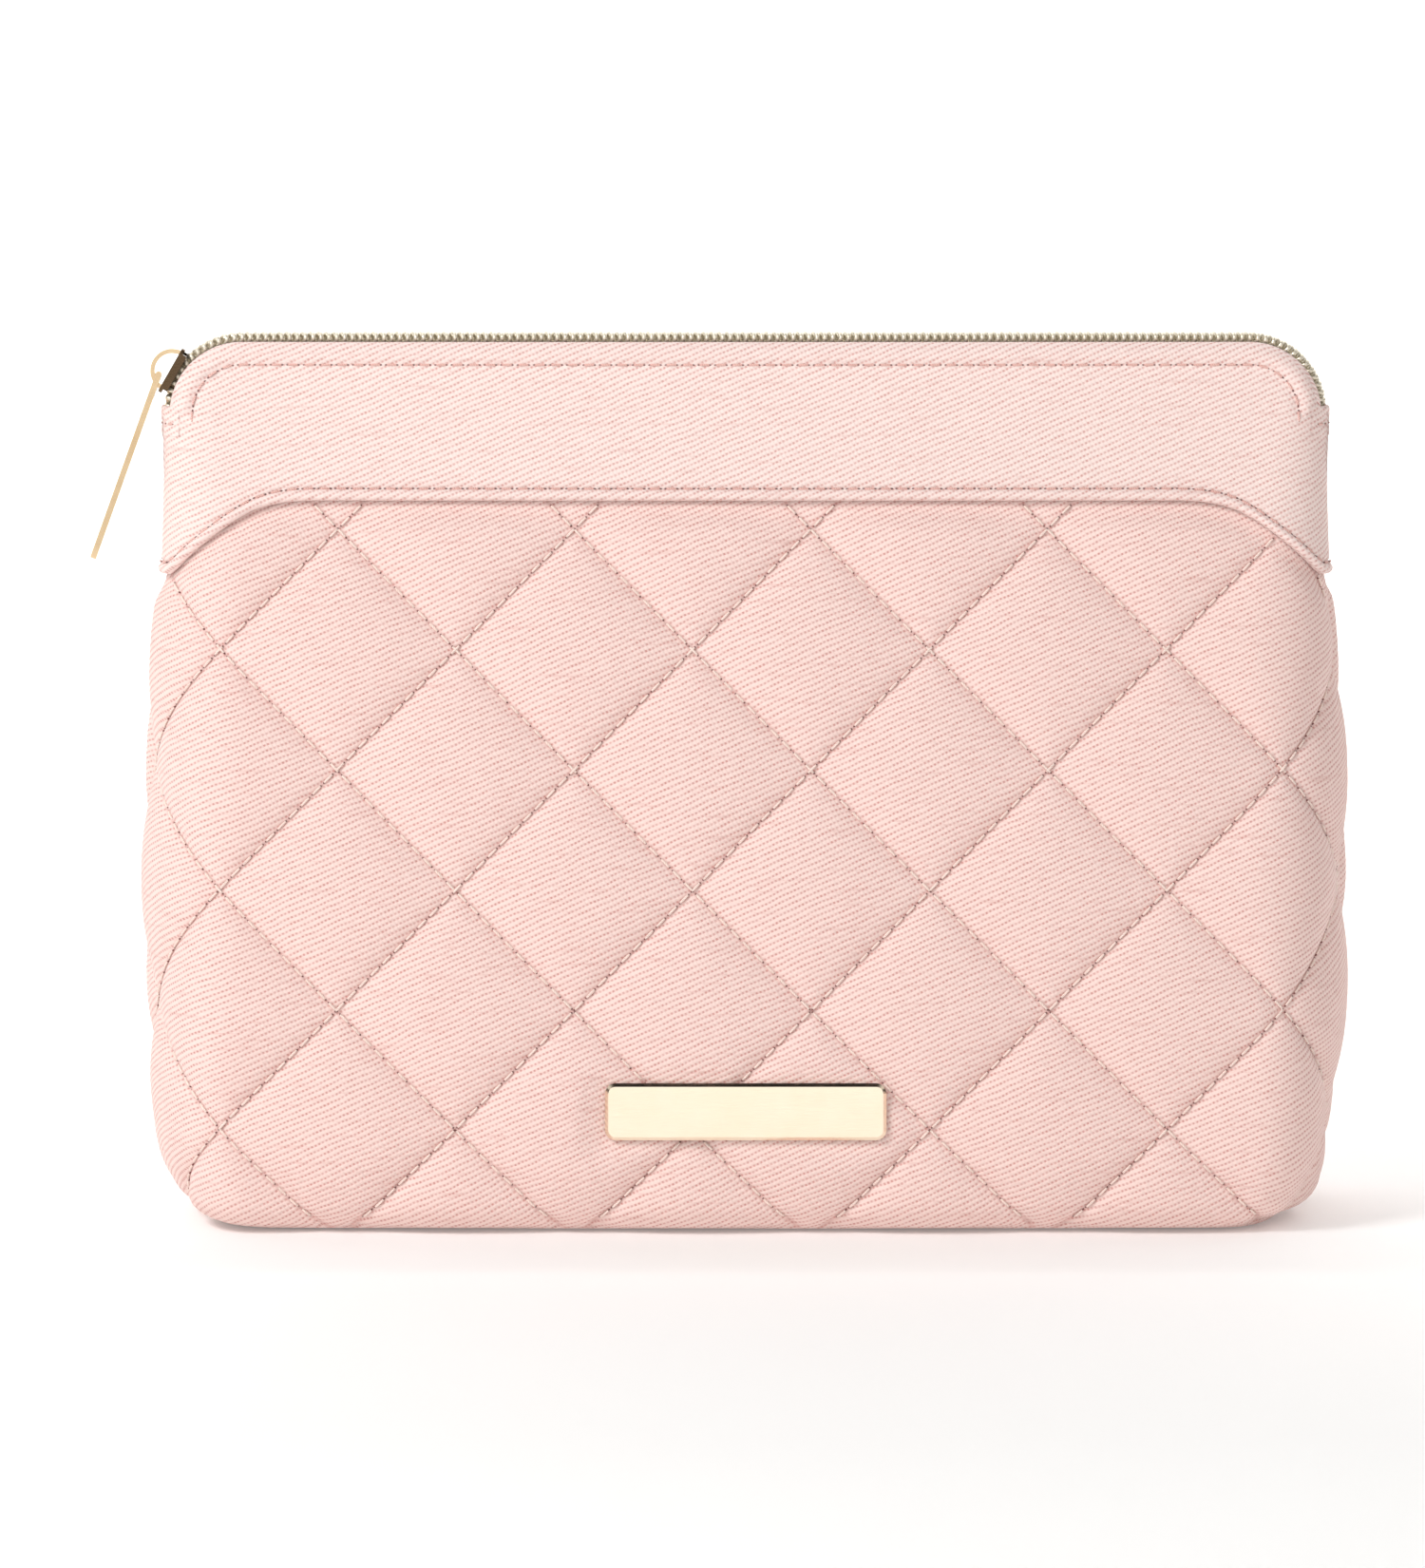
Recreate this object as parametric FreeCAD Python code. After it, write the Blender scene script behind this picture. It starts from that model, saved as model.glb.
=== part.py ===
"""A quilted makeup bag: padded walls on a flat base, a twill yoke, a curved top zip and a name plate.

Millimetres, +Z up, X along the zip, -Y is the front. The origin is the centre of the flat base.
The walls lean in from the base to the zip. The mouth opens by the front and back walls leaning out.
"""

import FreeCAD, Part
import math
import os

V = FreeCAD.Vector
Y_AXIS = V(0, 1, 0)
FAR = 150.0                # beyond the bag on every side

# ---- driving dimensions ----------------------------------------------------------------
# Wall sections: height, half width, half depth at the side, run of the rounded end.
SECTIONS = (
    (3.0, 117.5, 33.5, 15.0),
    (10.0, 122.3, 36.0, 16.0),
    (25.0, 125.3, 36.2, 18.0),
    (55.0, 127.2, 32.5, 21.0),
    (95.0, 126.7, 25.5, 21.0),
    (135.0, 124.4, 17.0, 19.0),
    (160.0, 123.6, 11.2, 13.0),
    (190.0, 124.0, 5.4, 10.0),
)
WALL_CROWN = 1.3           # extra depth of a wall halfway along it
END_POWER = 2.3            # how square the rounded end of a section is
BASE_HALF_WIDTH = 112.0    # the base's lowest outline
BASE_HALF_DEPTH = 30.0
BASE_HEIGHT = 3.0
SEAM_GAP = 0.15            # half the gap between front and back along the side seams
LAYER_GAP = 0.05

TWILL = 0.8
BATTING = 2.0
LINING = 0.4
LINING_OFFSET_LOW = TWILL + BATTING + 2 * LAYER_GAP
LINING_OFFSET_TOP = 1.5
LINING_RISE = (160.0, 190.0)   # heights between which the lining closes up on the yoke
LINING_TOP = 177.0         # its top edge is sewn just under the tapes
LINING_END_TOP = 160.0     # and stops lower beside the zip's round corners
BINDING = (4.0, 0.8)       # width and thickness of the tape that binds a side seam inside
BINDING_GAP = 1.2
WALL_LIFT = 8.0            # a wall's seam edge rises by nearly this much as the mouth opens

YOKE_TOP = 185.5
HEM_HEIGHT = 153.2         # the yoke's lower edge along the middle
HEM_FLAT = 92.0            # half the length of its straight stretch
HEM_SIDE_HEIGHT = 137.0    # where it meets the side seam
HEM_SIDE = 125.0

CHAIN_Z = 187.1            # mid-height of the zip's coil along the top
CORNER_R = 15.5            # radius of the zip's mid-line round each corner
CORNER_X = 106.8           # corner centre
CORNER_Z = CHAIN_Z - CORNER_R
COIL_HALF = 1.2            # half the coil's thickness
COIL_WIDTH = 3.0           # one row, from the middle out
COIL_PITCH = 1.67
LOOP_HALF = 0.36           # half a coil loop's width
LOOP_TIP = -0.55           # how far the loops reach past the middle,
LOOP_ROOT = 1.3            # and where they spring from
RUN_END = 101.0            # the zip's opening run reaches from -RUN_END to RUN_END
ZIP_FOOT_Z = 168.0         # both zip ends stop here, inside the tabs
TAPE = 0.4
TAPE_OUT = 4.7             # outer face of a tape's hanging leg
TAPE_DEPTH = 10.0
STOP_THICK = 0.35
STOP_Y = (0.9, 2.8)        # a stop's reach on its row
STOP_DROP = (2.2, 0.4)     # its lower and upper ends, below the corner centre

TAB_Z = (165.5, 172.5)
TAB_X = (119.5, 124.8)
TAB_HALF_DEPTH = 7.0
TAB_CLEARANCE = 2.0        # a wall swinging out rises a little under the tab
TAB_SIDE_GAP = 0.5         # between a tab's open side and the yoke
TAB_ROUNDING = 0.7

SLIDER_REST = 60.0         # the slider's tilt from level when the zip is shut
SLIDER_HALF_LENGTH = 5.25
SLIDER_HALF_WIDTH = 4.0
SLIDER_TOP = 17.7          # heights of the slider's faces, from the corner centre
SLIDER_BOTTOM = 12.4
SLIDER_PLATE = 0.8
SLIDER_CORNER = 1.4
SLIDER_FLANGE = 0.8        # width of the turned-in flange along each side
SLIDER_POST = (-4.6, -1.6)     # the post that parts the rows, along the slider,
SLIDER_POST_HALF = 0.4     # and half its width
SLOT = (14.1, 15.95)       # the slot that a tape runs through
CROWN_CENTRE = (-0.15, 17.2)
CROWN_R = (3.75, 4.7)
CROWN_HALF_WIDTH = 1.0
PIVOT_R = 2.9              # the pull's crosspiece lies this far from the crown's centre,
PIVOT_ANGLE = 132.0        # at this angle from the slider's nose

PULL_LEAN = 20.0           # the hanging pull's lean from upright
PULL_LENGTH = 42.0         # from the pivot to the tip
PULL_WIDTH = 5.0
PULL_THICK = 1.3           # also the diameter of the round crosspiece that it hangs by
PULL_CORNER = 1.9
EYE_WIDTH = 2.6
EYE_DEPTH = 5.6            # from the pivot to the eye's lower end

PLATE = (59.2, 1.4, 12.0)  # the name plate
PLATE_Z = 26.8
PLATE_LEAN = 4.5           # it leans back with the wall
PLATE_GAP = 0.45           # from the wall's section at its middle height
PLATE_CORNER = 2.2
PLATE_BEVEL = 0.7
PRONG_X = 22.0             # each prong's distance from the plate's middle
PRONG = (3.0, 0.8)         # its width and thickness
PRONG_REACH = TWILL + BATTING - 0.2
PRONG_FOOT = (0.5, 3.0)    # the bent end's thickness and how far up it reaches
PRONG_ROOM = 0.1
WASHER = (12.0, 0.4, 8.0)
WASHER_CORNER = 2.0


# ---- small helpers ---------------------------------------------------------------------
def box(x, y, z):
    """A box from three (low, high) pairs."""
    solid = Part.makeBox(x[1] - x[0], y[1] - y[0], z[1] - z[0])
    solid.translate(V(x[0], y[0], z[0]))
    return solid


def prism_xz(points_or_edges, y_low, y_high):
    """A solid from an outline in the XZ plane, from y_low to y_high."""
    if isinstance(points_or_edges[0], Part.Edge):
        wire = Part.Wire(points_or_edges)
    else:
        points = [V(x, y_low, z) for x, z in points_or_edges]
        wire = Part.makePolygon(points + points[:1])
    return Part.Face(wire).extrude(V(0, y_high - y_low, 0))


def line(a, b):
    return Part.makeLine(V(*a), V(*b))


def mirrored(shape, normal):
    return shape.mirror(V(0, 0, 0), normal)


def interpolate(z, column):
    """A column of SECTIONS at height z."""
    for low, high in zip(SECTIONS, SECTIONS[1:]):
        if z <= high[0]:
            t = (z - low[0]) / (high[0] - low[0])
            return low[column] + t * (high[column] - low[column])
    return SECTIONS[-1][column]


# ---- the walls -------------------------------------------------------------------------
def half_section(z, width, depth, run, offset):
    """Points of a front half section, from the left side seam round to the right one."""
    width, depth = width - offset, depth - offset
    flat = width - run
    points = []
    for degrees in (90, 75, 60, 45, 30, 15):
        a = math.radians(degrees)
        x = flat + run * math.sin(a) ** (2 / END_POWER)
        y = depth * math.cos(a) ** (2 / END_POWER) if degrees < 90 else 0.0
        points.append((x, y))
    for share in (0.92, 0.7, 0.35, 0.0):
        points.append((flat * share, depth))
    full = [(x, y + WALL_CROWN * (1 - (x / width) ** 2)) for x, y in points]
    full[0] = (width, SEAM_GAP)
    left = [V(-x, -y, z) for x, y in full]
    right = [V(x, -y, z) for x, y in reversed(full[:-1])]
    return left + right


def spline(points):
    curve = Part.BSplineCurve()
    curve.interpolate(points)
    return curve.toShape()


def wall(outer, inner):
    """The front half of a layer. outer and inner give its offsets from the bag's surface at a height."""
    wires = []
    for z, width, depth, run in SECTIONS:
        out = half_section(z, width, depth, run, outer(z))
        back = half_section(z, width, depth, run, inner(z))[::-1]
        wires.append(Part.Wire([
            spline(out),
            Part.makeLine(out[-1], back[0]),
            spline(back),
            Part.makeLine(back[-1], out[0]),
        ]))
    return Part.makeLoft(wires, True, False)


def top_outline():
    """Everything below the yoke's top edge, which follows the zip round both corners."""
    r = YOKE_TOP - CORNER_Z
    far, low = FAR, -10.0
    turn = r * math.sqrt(0.5)

    def arc(side):
        centre = side * CORNER_X
        return Part.Arc(V(centre + side * r, -60, CORNER_Z),
                        V(centre + side * turn, -60, CORNER_Z + turn),
                        V(centre, -60, YOKE_TOP)).toShape()

    edges = [
        line((-far, -60, low), (far, -60, low)),
        line((far, -60, low), (far, -60, CORNER_Z)),
        line((far, -60, CORNER_Z), (CORNER_X + r, -60, CORNER_Z)),
        arc(1),
        line((CORNER_X, -60, YOKE_TOP), (-CORNER_X, -60, YOKE_TOP)),
        arc(-1),
        line((-CORNER_X - r, -60, CORNER_Z), (-far, -60, CORNER_Z)),
        line((-far, -60, CORNER_Z), (-far, -60, low)),
    ]
    return prism_xz(edges, -60, 60)


def below_hem(drop=0.0):
    """Everything below the yoke's hem: level along the middle, and curving down to each side."""
    mid = (HEM_FLAT + HEM_SIDE) / 2 + 1.0
    fall = (HEM_HEIGHT + HEM_SIDE_HEIGHT) / 2 - 0.6

    def bend(side):
        curve = Part.BSplineCurve()
        points = [V(side * x, -60, z - drop) for x, z in (
            (HEM_FLAT, HEM_HEIGHT), (mid, fall), (HEM_SIDE, HEM_SIDE_HEIGHT))]
        curve.interpolate(points, InitialTangent=V(side * 14, 0, 0), FinalTangent=V(side * 14, 0, -6.3))
        return curve.toShape()

    far, low, end_z = FAR, -10.0, HEM_SIDE_HEIGHT - drop
    flat_z = HEM_HEIGHT - drop
    edges = [
        line((-far, -60, low), (far, -60, low)),
        line((far, -60, low), (far, -60, end_z)),
        line((far, -60, end_z), (HEM_SIDE, -60, end_z)),
        bend(1),
        line((HEM_FLAT, -60, flat_z), (-HEM_FLAT, -60, flat_z)),
        bend(-1),
        line((-HEM_SIDE, -60, end_z), (-far, -60, end_z)),
        line((-far, -60, end_z), (-far, -60, low)),
    ]
    return prism_xz(edges, -60, 60)


def tab_room():
    """What the walls leave free at each zip end."""
    low = TAB_Z[0] - TAB_CLEARANCE
    x_low = TAB_X[0] - TAB_SIDE_GAP
    right = box((x_low, 140), (-20, 20), (low, 200))
    return right.fuse(mirrored(right, V(1, 0, 0)))


def lining_offset(z):
    low, high = LINING_RISE
    t = min(1.0, max(0.0, (z - low) / (high - low)))
    return LINING_OFFSET_LOW + t * (LINING_OFFSET_TOP - LINING_OFFSET_LOW)


def front_walls():
    """The front wall's twill panel, yoke, batting and lining."""
    outline, hem, room = top_outline(), below_hem(), tab_room()
    twill = wall(lambda z: 0.0, lambda z: TWILL).common(outline).cut(room)
    panel = twill.common(hem)
    yoke = twill.cut(hem)
    batting = wall(lambda z: TWILL + LAYER_GAP, lambda z: TWILL + LAYER_GAP + BATTING)
    batting = batting.common(below_hem(4.0))
    lining = wall(lining_offset, lambda z: lining_offset(z) + LINING)
    lining = lining.common(box((-FAR, FAR), (-60, 60), (0, LINING_TOP)))
    for side in (1, -1):
        corner = box(sorted((side * (RUN_END - 1), side * 140)), (-20, 20), (LINING_END_TOP, 200))
        lining = lining.cut(corner)
    return panel, yoke, batting, lining


def full_outline(z, width, depth, run, offset=0.0):
    front = half_section(z, width, depth, run, offset)
    back = [V(-p.x, -p.y, z) for p in front]
    loop = [V(p.x, p.y if abs(p.y) > SEAM_GAP else 0, z) for p in front + back[1:-1]]
    curve = Part.BSplineCurve()
    curve.interpolate(loop, PeriodicFlag=True)
    return Part.Wire(curve.toShape())


def base_layer(low, high, offset=0.0):
    """A flat layer of the base. Its outline grows from the foot up to the walls."""
    def at(z):
        t = min(1.0, z / BASE_HEIGHT)
        _, width, depth, run = SECTIONS[0]
        return full_outline(z, BASE_HALF_WIDTH + t * (width - BASE_HALF_WIDTH),
                            BASE_HALF_DEPTH + t * (depth - BASE_HALF_DEPTH), run, offset)
    return Part.makeLoft([at(low), at(high)], True, True)


def seam_binding(side):
    """The tape that binds a side seam inside, from the base up to the zip's end tab."""
    half, thick = BINDING[0] / 2, BINDING[1]
    heights = [BASE_HEIGHT + LINING + 0.1] + [row[0] for row in SECTIONS[1:-1]] + [TAB_Z[0] - 0.5]
    inset = LINING_OFFSET_LOW + LINING + BINDING_GAP
    wires = []
    for z in heights:
        x = min(interpolate(z, 1), interpolate(max(BASE_HEIGHT, z - WALL_LIFT), 1)) - inset
        inner = x - thick
        corners = [V(side * u, y, z) for u, y in ((inner, -half), (x, -half), (x, half), (inner, half))]
        wires.append(Part.makePolygon(corners + corners[:1]))
    return Part.makeLoft(wires, True, True)


# ---- the zip ---------------------------------------------------------------------------
def comb(front):
    """One row of coil along the mouth, its loops lying between the other row's."""
    sign = -1 if front else 1
    count = int(2 * RUN_END / COIL_PITCH) - 2
    first = -COIL_PITCH * count / 2 + (0 if front else COIL_PITCH / 2)
    tip, root = sign * LOOP_TIP, sign * LOOP_ROOT
    end = RUN_END - 0.1
    points = [(-end, sign * COIL_WIDTH), (-end, root)]
    for k in range(count):
        left, right = first + k * COIL_PITCH - LOOP_HALF, first + k * COIL_PITCH + LOOP_HALF
        points += [(left, root), (left, tip), (right, tip), (right, root)]
    points += [(end, root), (end, sign * COIL_WIDTH)]
    wire = Part.makePolygon([V(x, y, CHAIN_Z - COIL_HALF) for x, y in points + points[:1]])
    return Part.Face(wire).extrude(V(0, 0, 2 * COIL_HALF))


def round_corner(profile, side):
    """Carries a profile of (y, distance from the corner's centre) from the run's end round to the foot."""
    def face(x):
        return Part.Face(Part.makePolygon([V(x, y, CORNER_Z + r) for y, r in profile + profile[:1]]))
    end = RUN_END + 0.1
    start = face(side * end).extrude(V(side * (CORNER_X - end), 0, 0))
    bend = face(side * CORNER_X).revolve(V(side * CORNER_X, 0, CORNER_Z), Y_AXIS * side, 90)
    foot = [V(side * (CORNER_X + r), y, CORNER_Z) for y, r in profile + profile[:1]]
    drop = Part.Face(Part.makePolygon(foot)).extrude(V(0, 0, ZIP_FOOT_Z - CORNER_Z))
    return start.fuse(bend).fuse(drop).removeSplitter()


def coil_profile(sign):
    low, high = CORNER_R - COIL_HALF, CORNER_R + COIL_HALF
    return [(sign * 0.5, low), (sign * COIL_WIDTH, low), (sign * COIL_WIDTH, high), (sign * 0.5, high)]


def tape_profile(sign):
    """A tape lies flat beside the coil and then hangs inside the yoke."""
    low, high = CORNER_R - TAPE / 2, CORNER_R + TAPE / 2
    inner, outer = COIL_WIDTH + 0.05, TAPE_OUT
    return [(sign * inner, low), (sign * (outer - TAPE), low), (sign * (outer - TAPE), high - TAPE_DEPTH),
            (sign * outer, high - TAPE_DEPTH), (sign * outer, high), (sign * inner, high)]


def tape_run(sign):
    end = RUN_END - 0.1
    points = [V(-end, y, CORNER_Z + r) for y, r in tape_profile(sign)]
    return Part.Face(Part.makePolygon(points + points[:1])).extrude(V(2 * end, 0, 0))


def tab(side):
    """A folded twill tab over a zip end, open above for the coil and open towards the bag."""
    outer = box(TAB_X, (-TAB_HALF_DEPTH, TAB_HALF_DEPTH), TAB_Z)
    depth = TAB_HALF_DEPTH - TWILL
    solid = outer.cut(box((TAB_X[0] - 1, TAB_X[1] - TWILL), (-depth, depth), (TAB_Z[0] - 1, TAB_Z[1] + 1)))
    edges = [e for e in solid.Edges if abs(e.Vertexes[0].X - e.Vertexes[-1].X) < 1e-6
             and abs(e.Vertexes[0].Y - e.Vertexes[-1].Y) < 1e-6 and e.Vertexes[0].X > TAB_X[1] - 0.1]
    solid = solid.makeFillet(TAB_ROUNDING, edges)
    return solid if side > 0 else mirrored(solid, V(1, 0, 0))


def stop_pair(side):
    """Crimped stops, one on each row, between the slider and the tab."""
    x = CORNER_X + CORNER_R + COIL_HALF + 0.1
    solids = []
    for sign in (-1, 1):
        y = sorted(sign * reach for reach in STOP_Y)
        z = [CORNER_Z - drop for drop in STOP_DROP]
        solids.append(box(sorted((side * x, side * (x + STOP_THICK))), y, z))
    return Part.makeCompound(solids)


# ---- slider and pull -------------------------------------------------------------------
def place_on_slider(shape):
    """From the slider's own axes, X along it and Z away from the corner centre, to the left corner."""
    shape.rotate(V(0, 0, 0), Y_AXIS, -SLIDER_REST)
    shape.translate(V(-CORNER_X, 0, CORNER_Z))
    return shape


def slider_plate(low, high):
    """A plate with its four corners rounded, wider at the end that parts the rows."""
    length, width = SLIDER_HALF_LENGTH, SLIDER_HALF_WIDTH
    plate = box((-length, length), (-width, width), (low, high))
    upright = [e for e in plate.Edges if abs(e.Vertexes[0].Z - e.Vertexes[-1].Z) > 0.1]
    return plate.makeFillet(SLIDER_CORNER, upright)


def slider_body():
    top = slider_plate(SLIDER_TOP - SLIDER_PLATE, SLIDER_TOP)
    bottom = slider_plate(SLIDER_BOTTOM, SLIDER_BOTTOM + SLIDER_PLATE)
    body = top.fuse(bottom)
    post_low, post_high = SLIDER_BOTTOM + SLIDER_PLATE - 0.1, SLIDER_TOP - SLIDER_PLATE + 0.1
    body = body.fuse(box(SLIDER_POST, (-SLIDER_POST_HALF, SLIDER_POST_HALF), (post_low, post_high)))
    reach = SLIDER_HALF_LENGTH - 1.0
    inner = SLIDER_HALF_WIDTH - SLIDER_FLANGE
    for sign in (-1, 1):
        y = sorted((sign * inner, sign * SLIDER_HALF_WIDTH))
        body = body.fuse(box((-reach, reach), y, (SLOT[1], post_high)))
        body = body.fuse(box((-reach, reach), y, (post_low, SLOT[0])))
    return place_on_slider(body.removeSplitter())


def slider_crown():
    """The arched strip that the pull hangs on, from the slider's nose to its tail."""
    cx, cz = CROWN_CENTRE
    half = CROWN_HALF_WIDTH
    ring = Part.makeCylinder(CROWN_R[1], 2 * half, V(cx, -half, cz), Y_AXIS)
    ring = ring.cut(Part.makeCylinder(CROWN_R[0], 4 * half, V(cx, -2 * half, cz), Y_AXIS))
    above = box((-10, 10), (-5, 5), (SLIDER_TOP, 30))
    return place_on_slider(ring.common(above))


def pivot():
    """Where the pull turns: the middle of its crosspiece, inside the crown's tail end."""
    a = math.radians(PIVOT_ANGLE)
    along, out = CROWN_CENTRE[0] + PIVOT_R * math.cos(a), CROWN_CENTRE[1] + PIVOT_R * math.sin(a)
    t = math.radians(SLIDER_REST)
    return V(along * math.cos(t) - out * math.sin(t) - CORNER_X, 0,
             along * math.sin(t) + out * math.cos(t) + CORNER_Z)


def along_x(edge):
    return abs(edge.Vertexes[0].X - edge.Vertexes[-1].X) > 0.1


def pull_bar():
    """A flat bar with a slotted eye. The crown's strip passes through the eye, over the round crosspiece."""
    half, radius = PULL_WIDTH / 2, PULL_THICK / 2
    blank = box((-radius, radius), (-half, half), (-PULL_LENGTH, 0))
    lower = [e for e in blank.Edges if along_x(e) and e.Vertexes[0].Z < -1]
    blank = blank.makeFillet(PULL_CORNER, lower)
    eye = box((-2, 2), (-EYE_WIDTH / 2, EYE_WIDTH / 2), (-EYE_DEPTH, 1))
    eye = eye.makeFillet(0.6, [e for e in eye.Edges if along_x(e) and e.Vertexes[0].Z < -1])
    crosspiece = Part.makeCylinder(radius, PULL_WIDTH, V(0, -half, 0), Y_AXIS)
    bar = blank.cut(eye).fuse(crosspiece).removeSplitter()
    bar.rotate(V(0, 0, 0), Y_AXIS, PULL_LEAN)
    bar.translate(pivot())
    return bar


# ---- name plate ------------------------------------------------------------------------
def plate_back():
    """Y of the middle of the name plate's back face, just clear of the wall behind it."""
    return -(interpolate(PLATE_Z, 2) + WALL_CROWN + PLATE_GAP)


def lean_with_wall(shape):
    shape.rotate(V(0, plate_back(), PLATE_Z), V(1, 0, 0), -PLATE_LEAN)
    return shape


def name_plate():
    width, thick, height = PLATE
    back = plate_back()
    solid = box((-width / 2, width / 2), (back - thick, back), (PLATE_Z - height / 2, PLATE_Z + height / 2))
    corners = [e for e in solid.Edges if abs(e.Vertexes[0].Y - e.Vertexes[-1].Y) > 0.1]
    solid = solid.makeFillet(PLATE_CORNER, corners)
    rim = [e for e in solid.Edges if max(v.Y for v in e.Vertexes) < back - thick + 1e-6]
    return lean_with_wall(solid.makeChamfer(PLATE_BEVEL, rim))


def prong_places():
    return [side * PRONG_X for side in (-1, 1)]


def prong_slot(x, low, high, room):
    """A prong's section at x, from y low to high, with room round it."""
    half_width, half_thick = PRONG[0] / 2 + room, PRONG[1] / 2 + room
    return box((x - half_width, x + half_width), (low, high), (PLATE_Z - half_thick, PLATE_Z + half_thick))


def prongs():
    """Two prongs through the wall, each bent over its washer."""
    back = plate_back()
    tip = back + PRONG_REACH
    solids = []
    for x in prong_places():
        leg = prong_slot(x, back, tip, 0.0)
        foot = box((x - PRONG[0] / 2, x + PRONG[0] / 2), (tip - PRONG_FOOT[0], tip),
                   (PLATE_Z - PRONG[1] / 2, PLATE_Z + PRONG_FOOT[1]))
        solids.append(lean_with_wall(leg.fuse(foot).removeSplitter()))
    return Part.makeCompound(solids)


def washer_front():
    """Y of a washer's front face, so that its back face lies just under a prong's bent end."""
    return plate_back() + PRONG_REACH - PRONG_FOOT[0] - WASHER[1] - LAYER_GAP


def washer(x):
    low = washer_front()
    width, thick, height = WASHER
    disc = box((x - width / 2, x + width / 2), (low, low + thick),
               (PLATE_Z - height / 2, PLATE_Z + height / 2))
    corners = [e for e in disc.Edges if abs(e.Vertexes[0].Y - e.Vertexes[-1].Y) > 0.1]
    disc = disc.makeFillet(WASHER_CORNER, corners)
    return lean_with_wall(disc.cut(prong_slot(x, -FAR, 0, PRONG_ROOM)))


def room_for_prongs(panel, batting):
    """Slots in the twill, and a pocket in the batting's inner side for the washers and bent ends."""
    low = washer_front() - LAYER_GAP
    half_width, half_height = WASHER[0] / 2 + 0.2, WASHER[2] / 2 + 0.2
    for x in prong_places():
        slot = lean_with_wall(prong_slot(x, -FAR, low + 0.5, PRONG_ROOM))
        pocket = lean_with_wall(box((x - half_width, x + half_width), (low, low + 4),
                                    (PLATE_Z - half_height, PLATE_Z + half_height)))
        panel = panel.cut(slot)
        batting = batting.cut(slot).cut(pocket)
    return panel, batting


# ---- everything ------------------------------------------------------------------------
def build():
    panel, yoke, batting, lining = front_walls()
    back = V(0, 1, 0)
    nodes = {
        "back_quilted_panel": mirrored(panel, back),
        "back_yoke": mirrored(yoke, back),
        "back_batting": mirrored(batting, back),
        "back_lining": mirrored(lining, back),
        "front_yoke": yoke,
        "front_lining": lining,
    }
    nodes["front_quilted_panel"], nodes["front_batting"] = room_for_prongs(panel, batting)
    nodes["base_panel"] = base_layer(0.0, TWILL)
    nodes["base_batting"] = base_layer(TWILL + LAYER_GAP, BASE_HEIGHT - LAYER_GAP)
    nodes["base_lining"] = base_layer(BASE_HEIGHT, BASE_HEIGHT + LINING, LINING_OFFSET_LOW + LINING + 0.2)
    for name, front in (("front", True), ("back", False)):
        sign = -1 if front else 1
        nodes[f"zip_coil_{name}"] = comb(front)
        nodes[f"zip_tape_{name}"] = tape_run(sign)
        for end, side in (("left", -1), ("right", 1)):
            nodes[f"zip_coil_{name}_{end}_end"] = round_corner(coil_profile(sign), side)
            nodes[f"zip_tape_{name}_{end}_end"] = round_corner(tape_profile(sign), side)
    nodes["zip_tab_left"], nodes["zip_tab_right"] = tab(-1), tab(1)
    nodes["side_binding_left"], nodes["side_binding_right"] = seam_binding(-1), seam_binding(1)
    nodes["zip_top_stops"], nodes["zip_bottom_stops"] = stop_pair(-1), stop_pair(1)
    nodes["slider_body"] = slider_body()
    nodes["slider_crown"] = slider_crown()
    nodes["pull_bar"] = pull_bar()
    nodes["name_plate"] = name_plate()
    nodes["name_plate_prongs"] = prongs()
    left, right = (washer(x) for x in prong_places())
    nodes["name_plate_washers"] = Part.makeCompound([left, right])
    return nodes


def main():
    os.makedirs("parts", exist_ok=True)
    for name, shape in build().items():
        shape.exportStep(f"parts/{name}.step")
        print(name, len(shape.Solids), "solids", "valid" if shape.isValid() else "INVALID",
              round(shape.Volume, 1), "mm3")
    p = pivot()
    print("pull pivot", round(p.x, 3), round(p.z, 3), "slider turns about", -CORNER_X, CORNER_Z)


main()
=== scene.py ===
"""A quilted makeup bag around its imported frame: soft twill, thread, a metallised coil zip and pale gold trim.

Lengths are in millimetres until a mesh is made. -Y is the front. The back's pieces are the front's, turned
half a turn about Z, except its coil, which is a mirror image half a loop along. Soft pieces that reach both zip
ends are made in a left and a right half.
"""

import math

import bmesh
import bpy
import numpy as np
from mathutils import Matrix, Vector
from mathutils.bvhtree import BVHTree


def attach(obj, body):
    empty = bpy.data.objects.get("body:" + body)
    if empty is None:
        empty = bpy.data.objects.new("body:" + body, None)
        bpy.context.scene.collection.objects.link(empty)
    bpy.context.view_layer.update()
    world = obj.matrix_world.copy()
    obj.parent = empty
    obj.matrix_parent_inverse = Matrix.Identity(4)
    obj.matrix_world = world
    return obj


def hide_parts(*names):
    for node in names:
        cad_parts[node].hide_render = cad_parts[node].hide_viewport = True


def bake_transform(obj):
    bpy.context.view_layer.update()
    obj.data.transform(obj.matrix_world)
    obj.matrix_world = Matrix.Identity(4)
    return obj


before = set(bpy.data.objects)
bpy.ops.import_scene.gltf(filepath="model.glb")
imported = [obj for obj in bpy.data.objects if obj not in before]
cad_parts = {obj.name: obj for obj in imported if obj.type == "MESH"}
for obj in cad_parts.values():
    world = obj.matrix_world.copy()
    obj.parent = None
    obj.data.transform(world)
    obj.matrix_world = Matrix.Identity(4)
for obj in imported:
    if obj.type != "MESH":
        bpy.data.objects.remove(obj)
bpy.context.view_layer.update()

MM = 0.001

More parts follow.
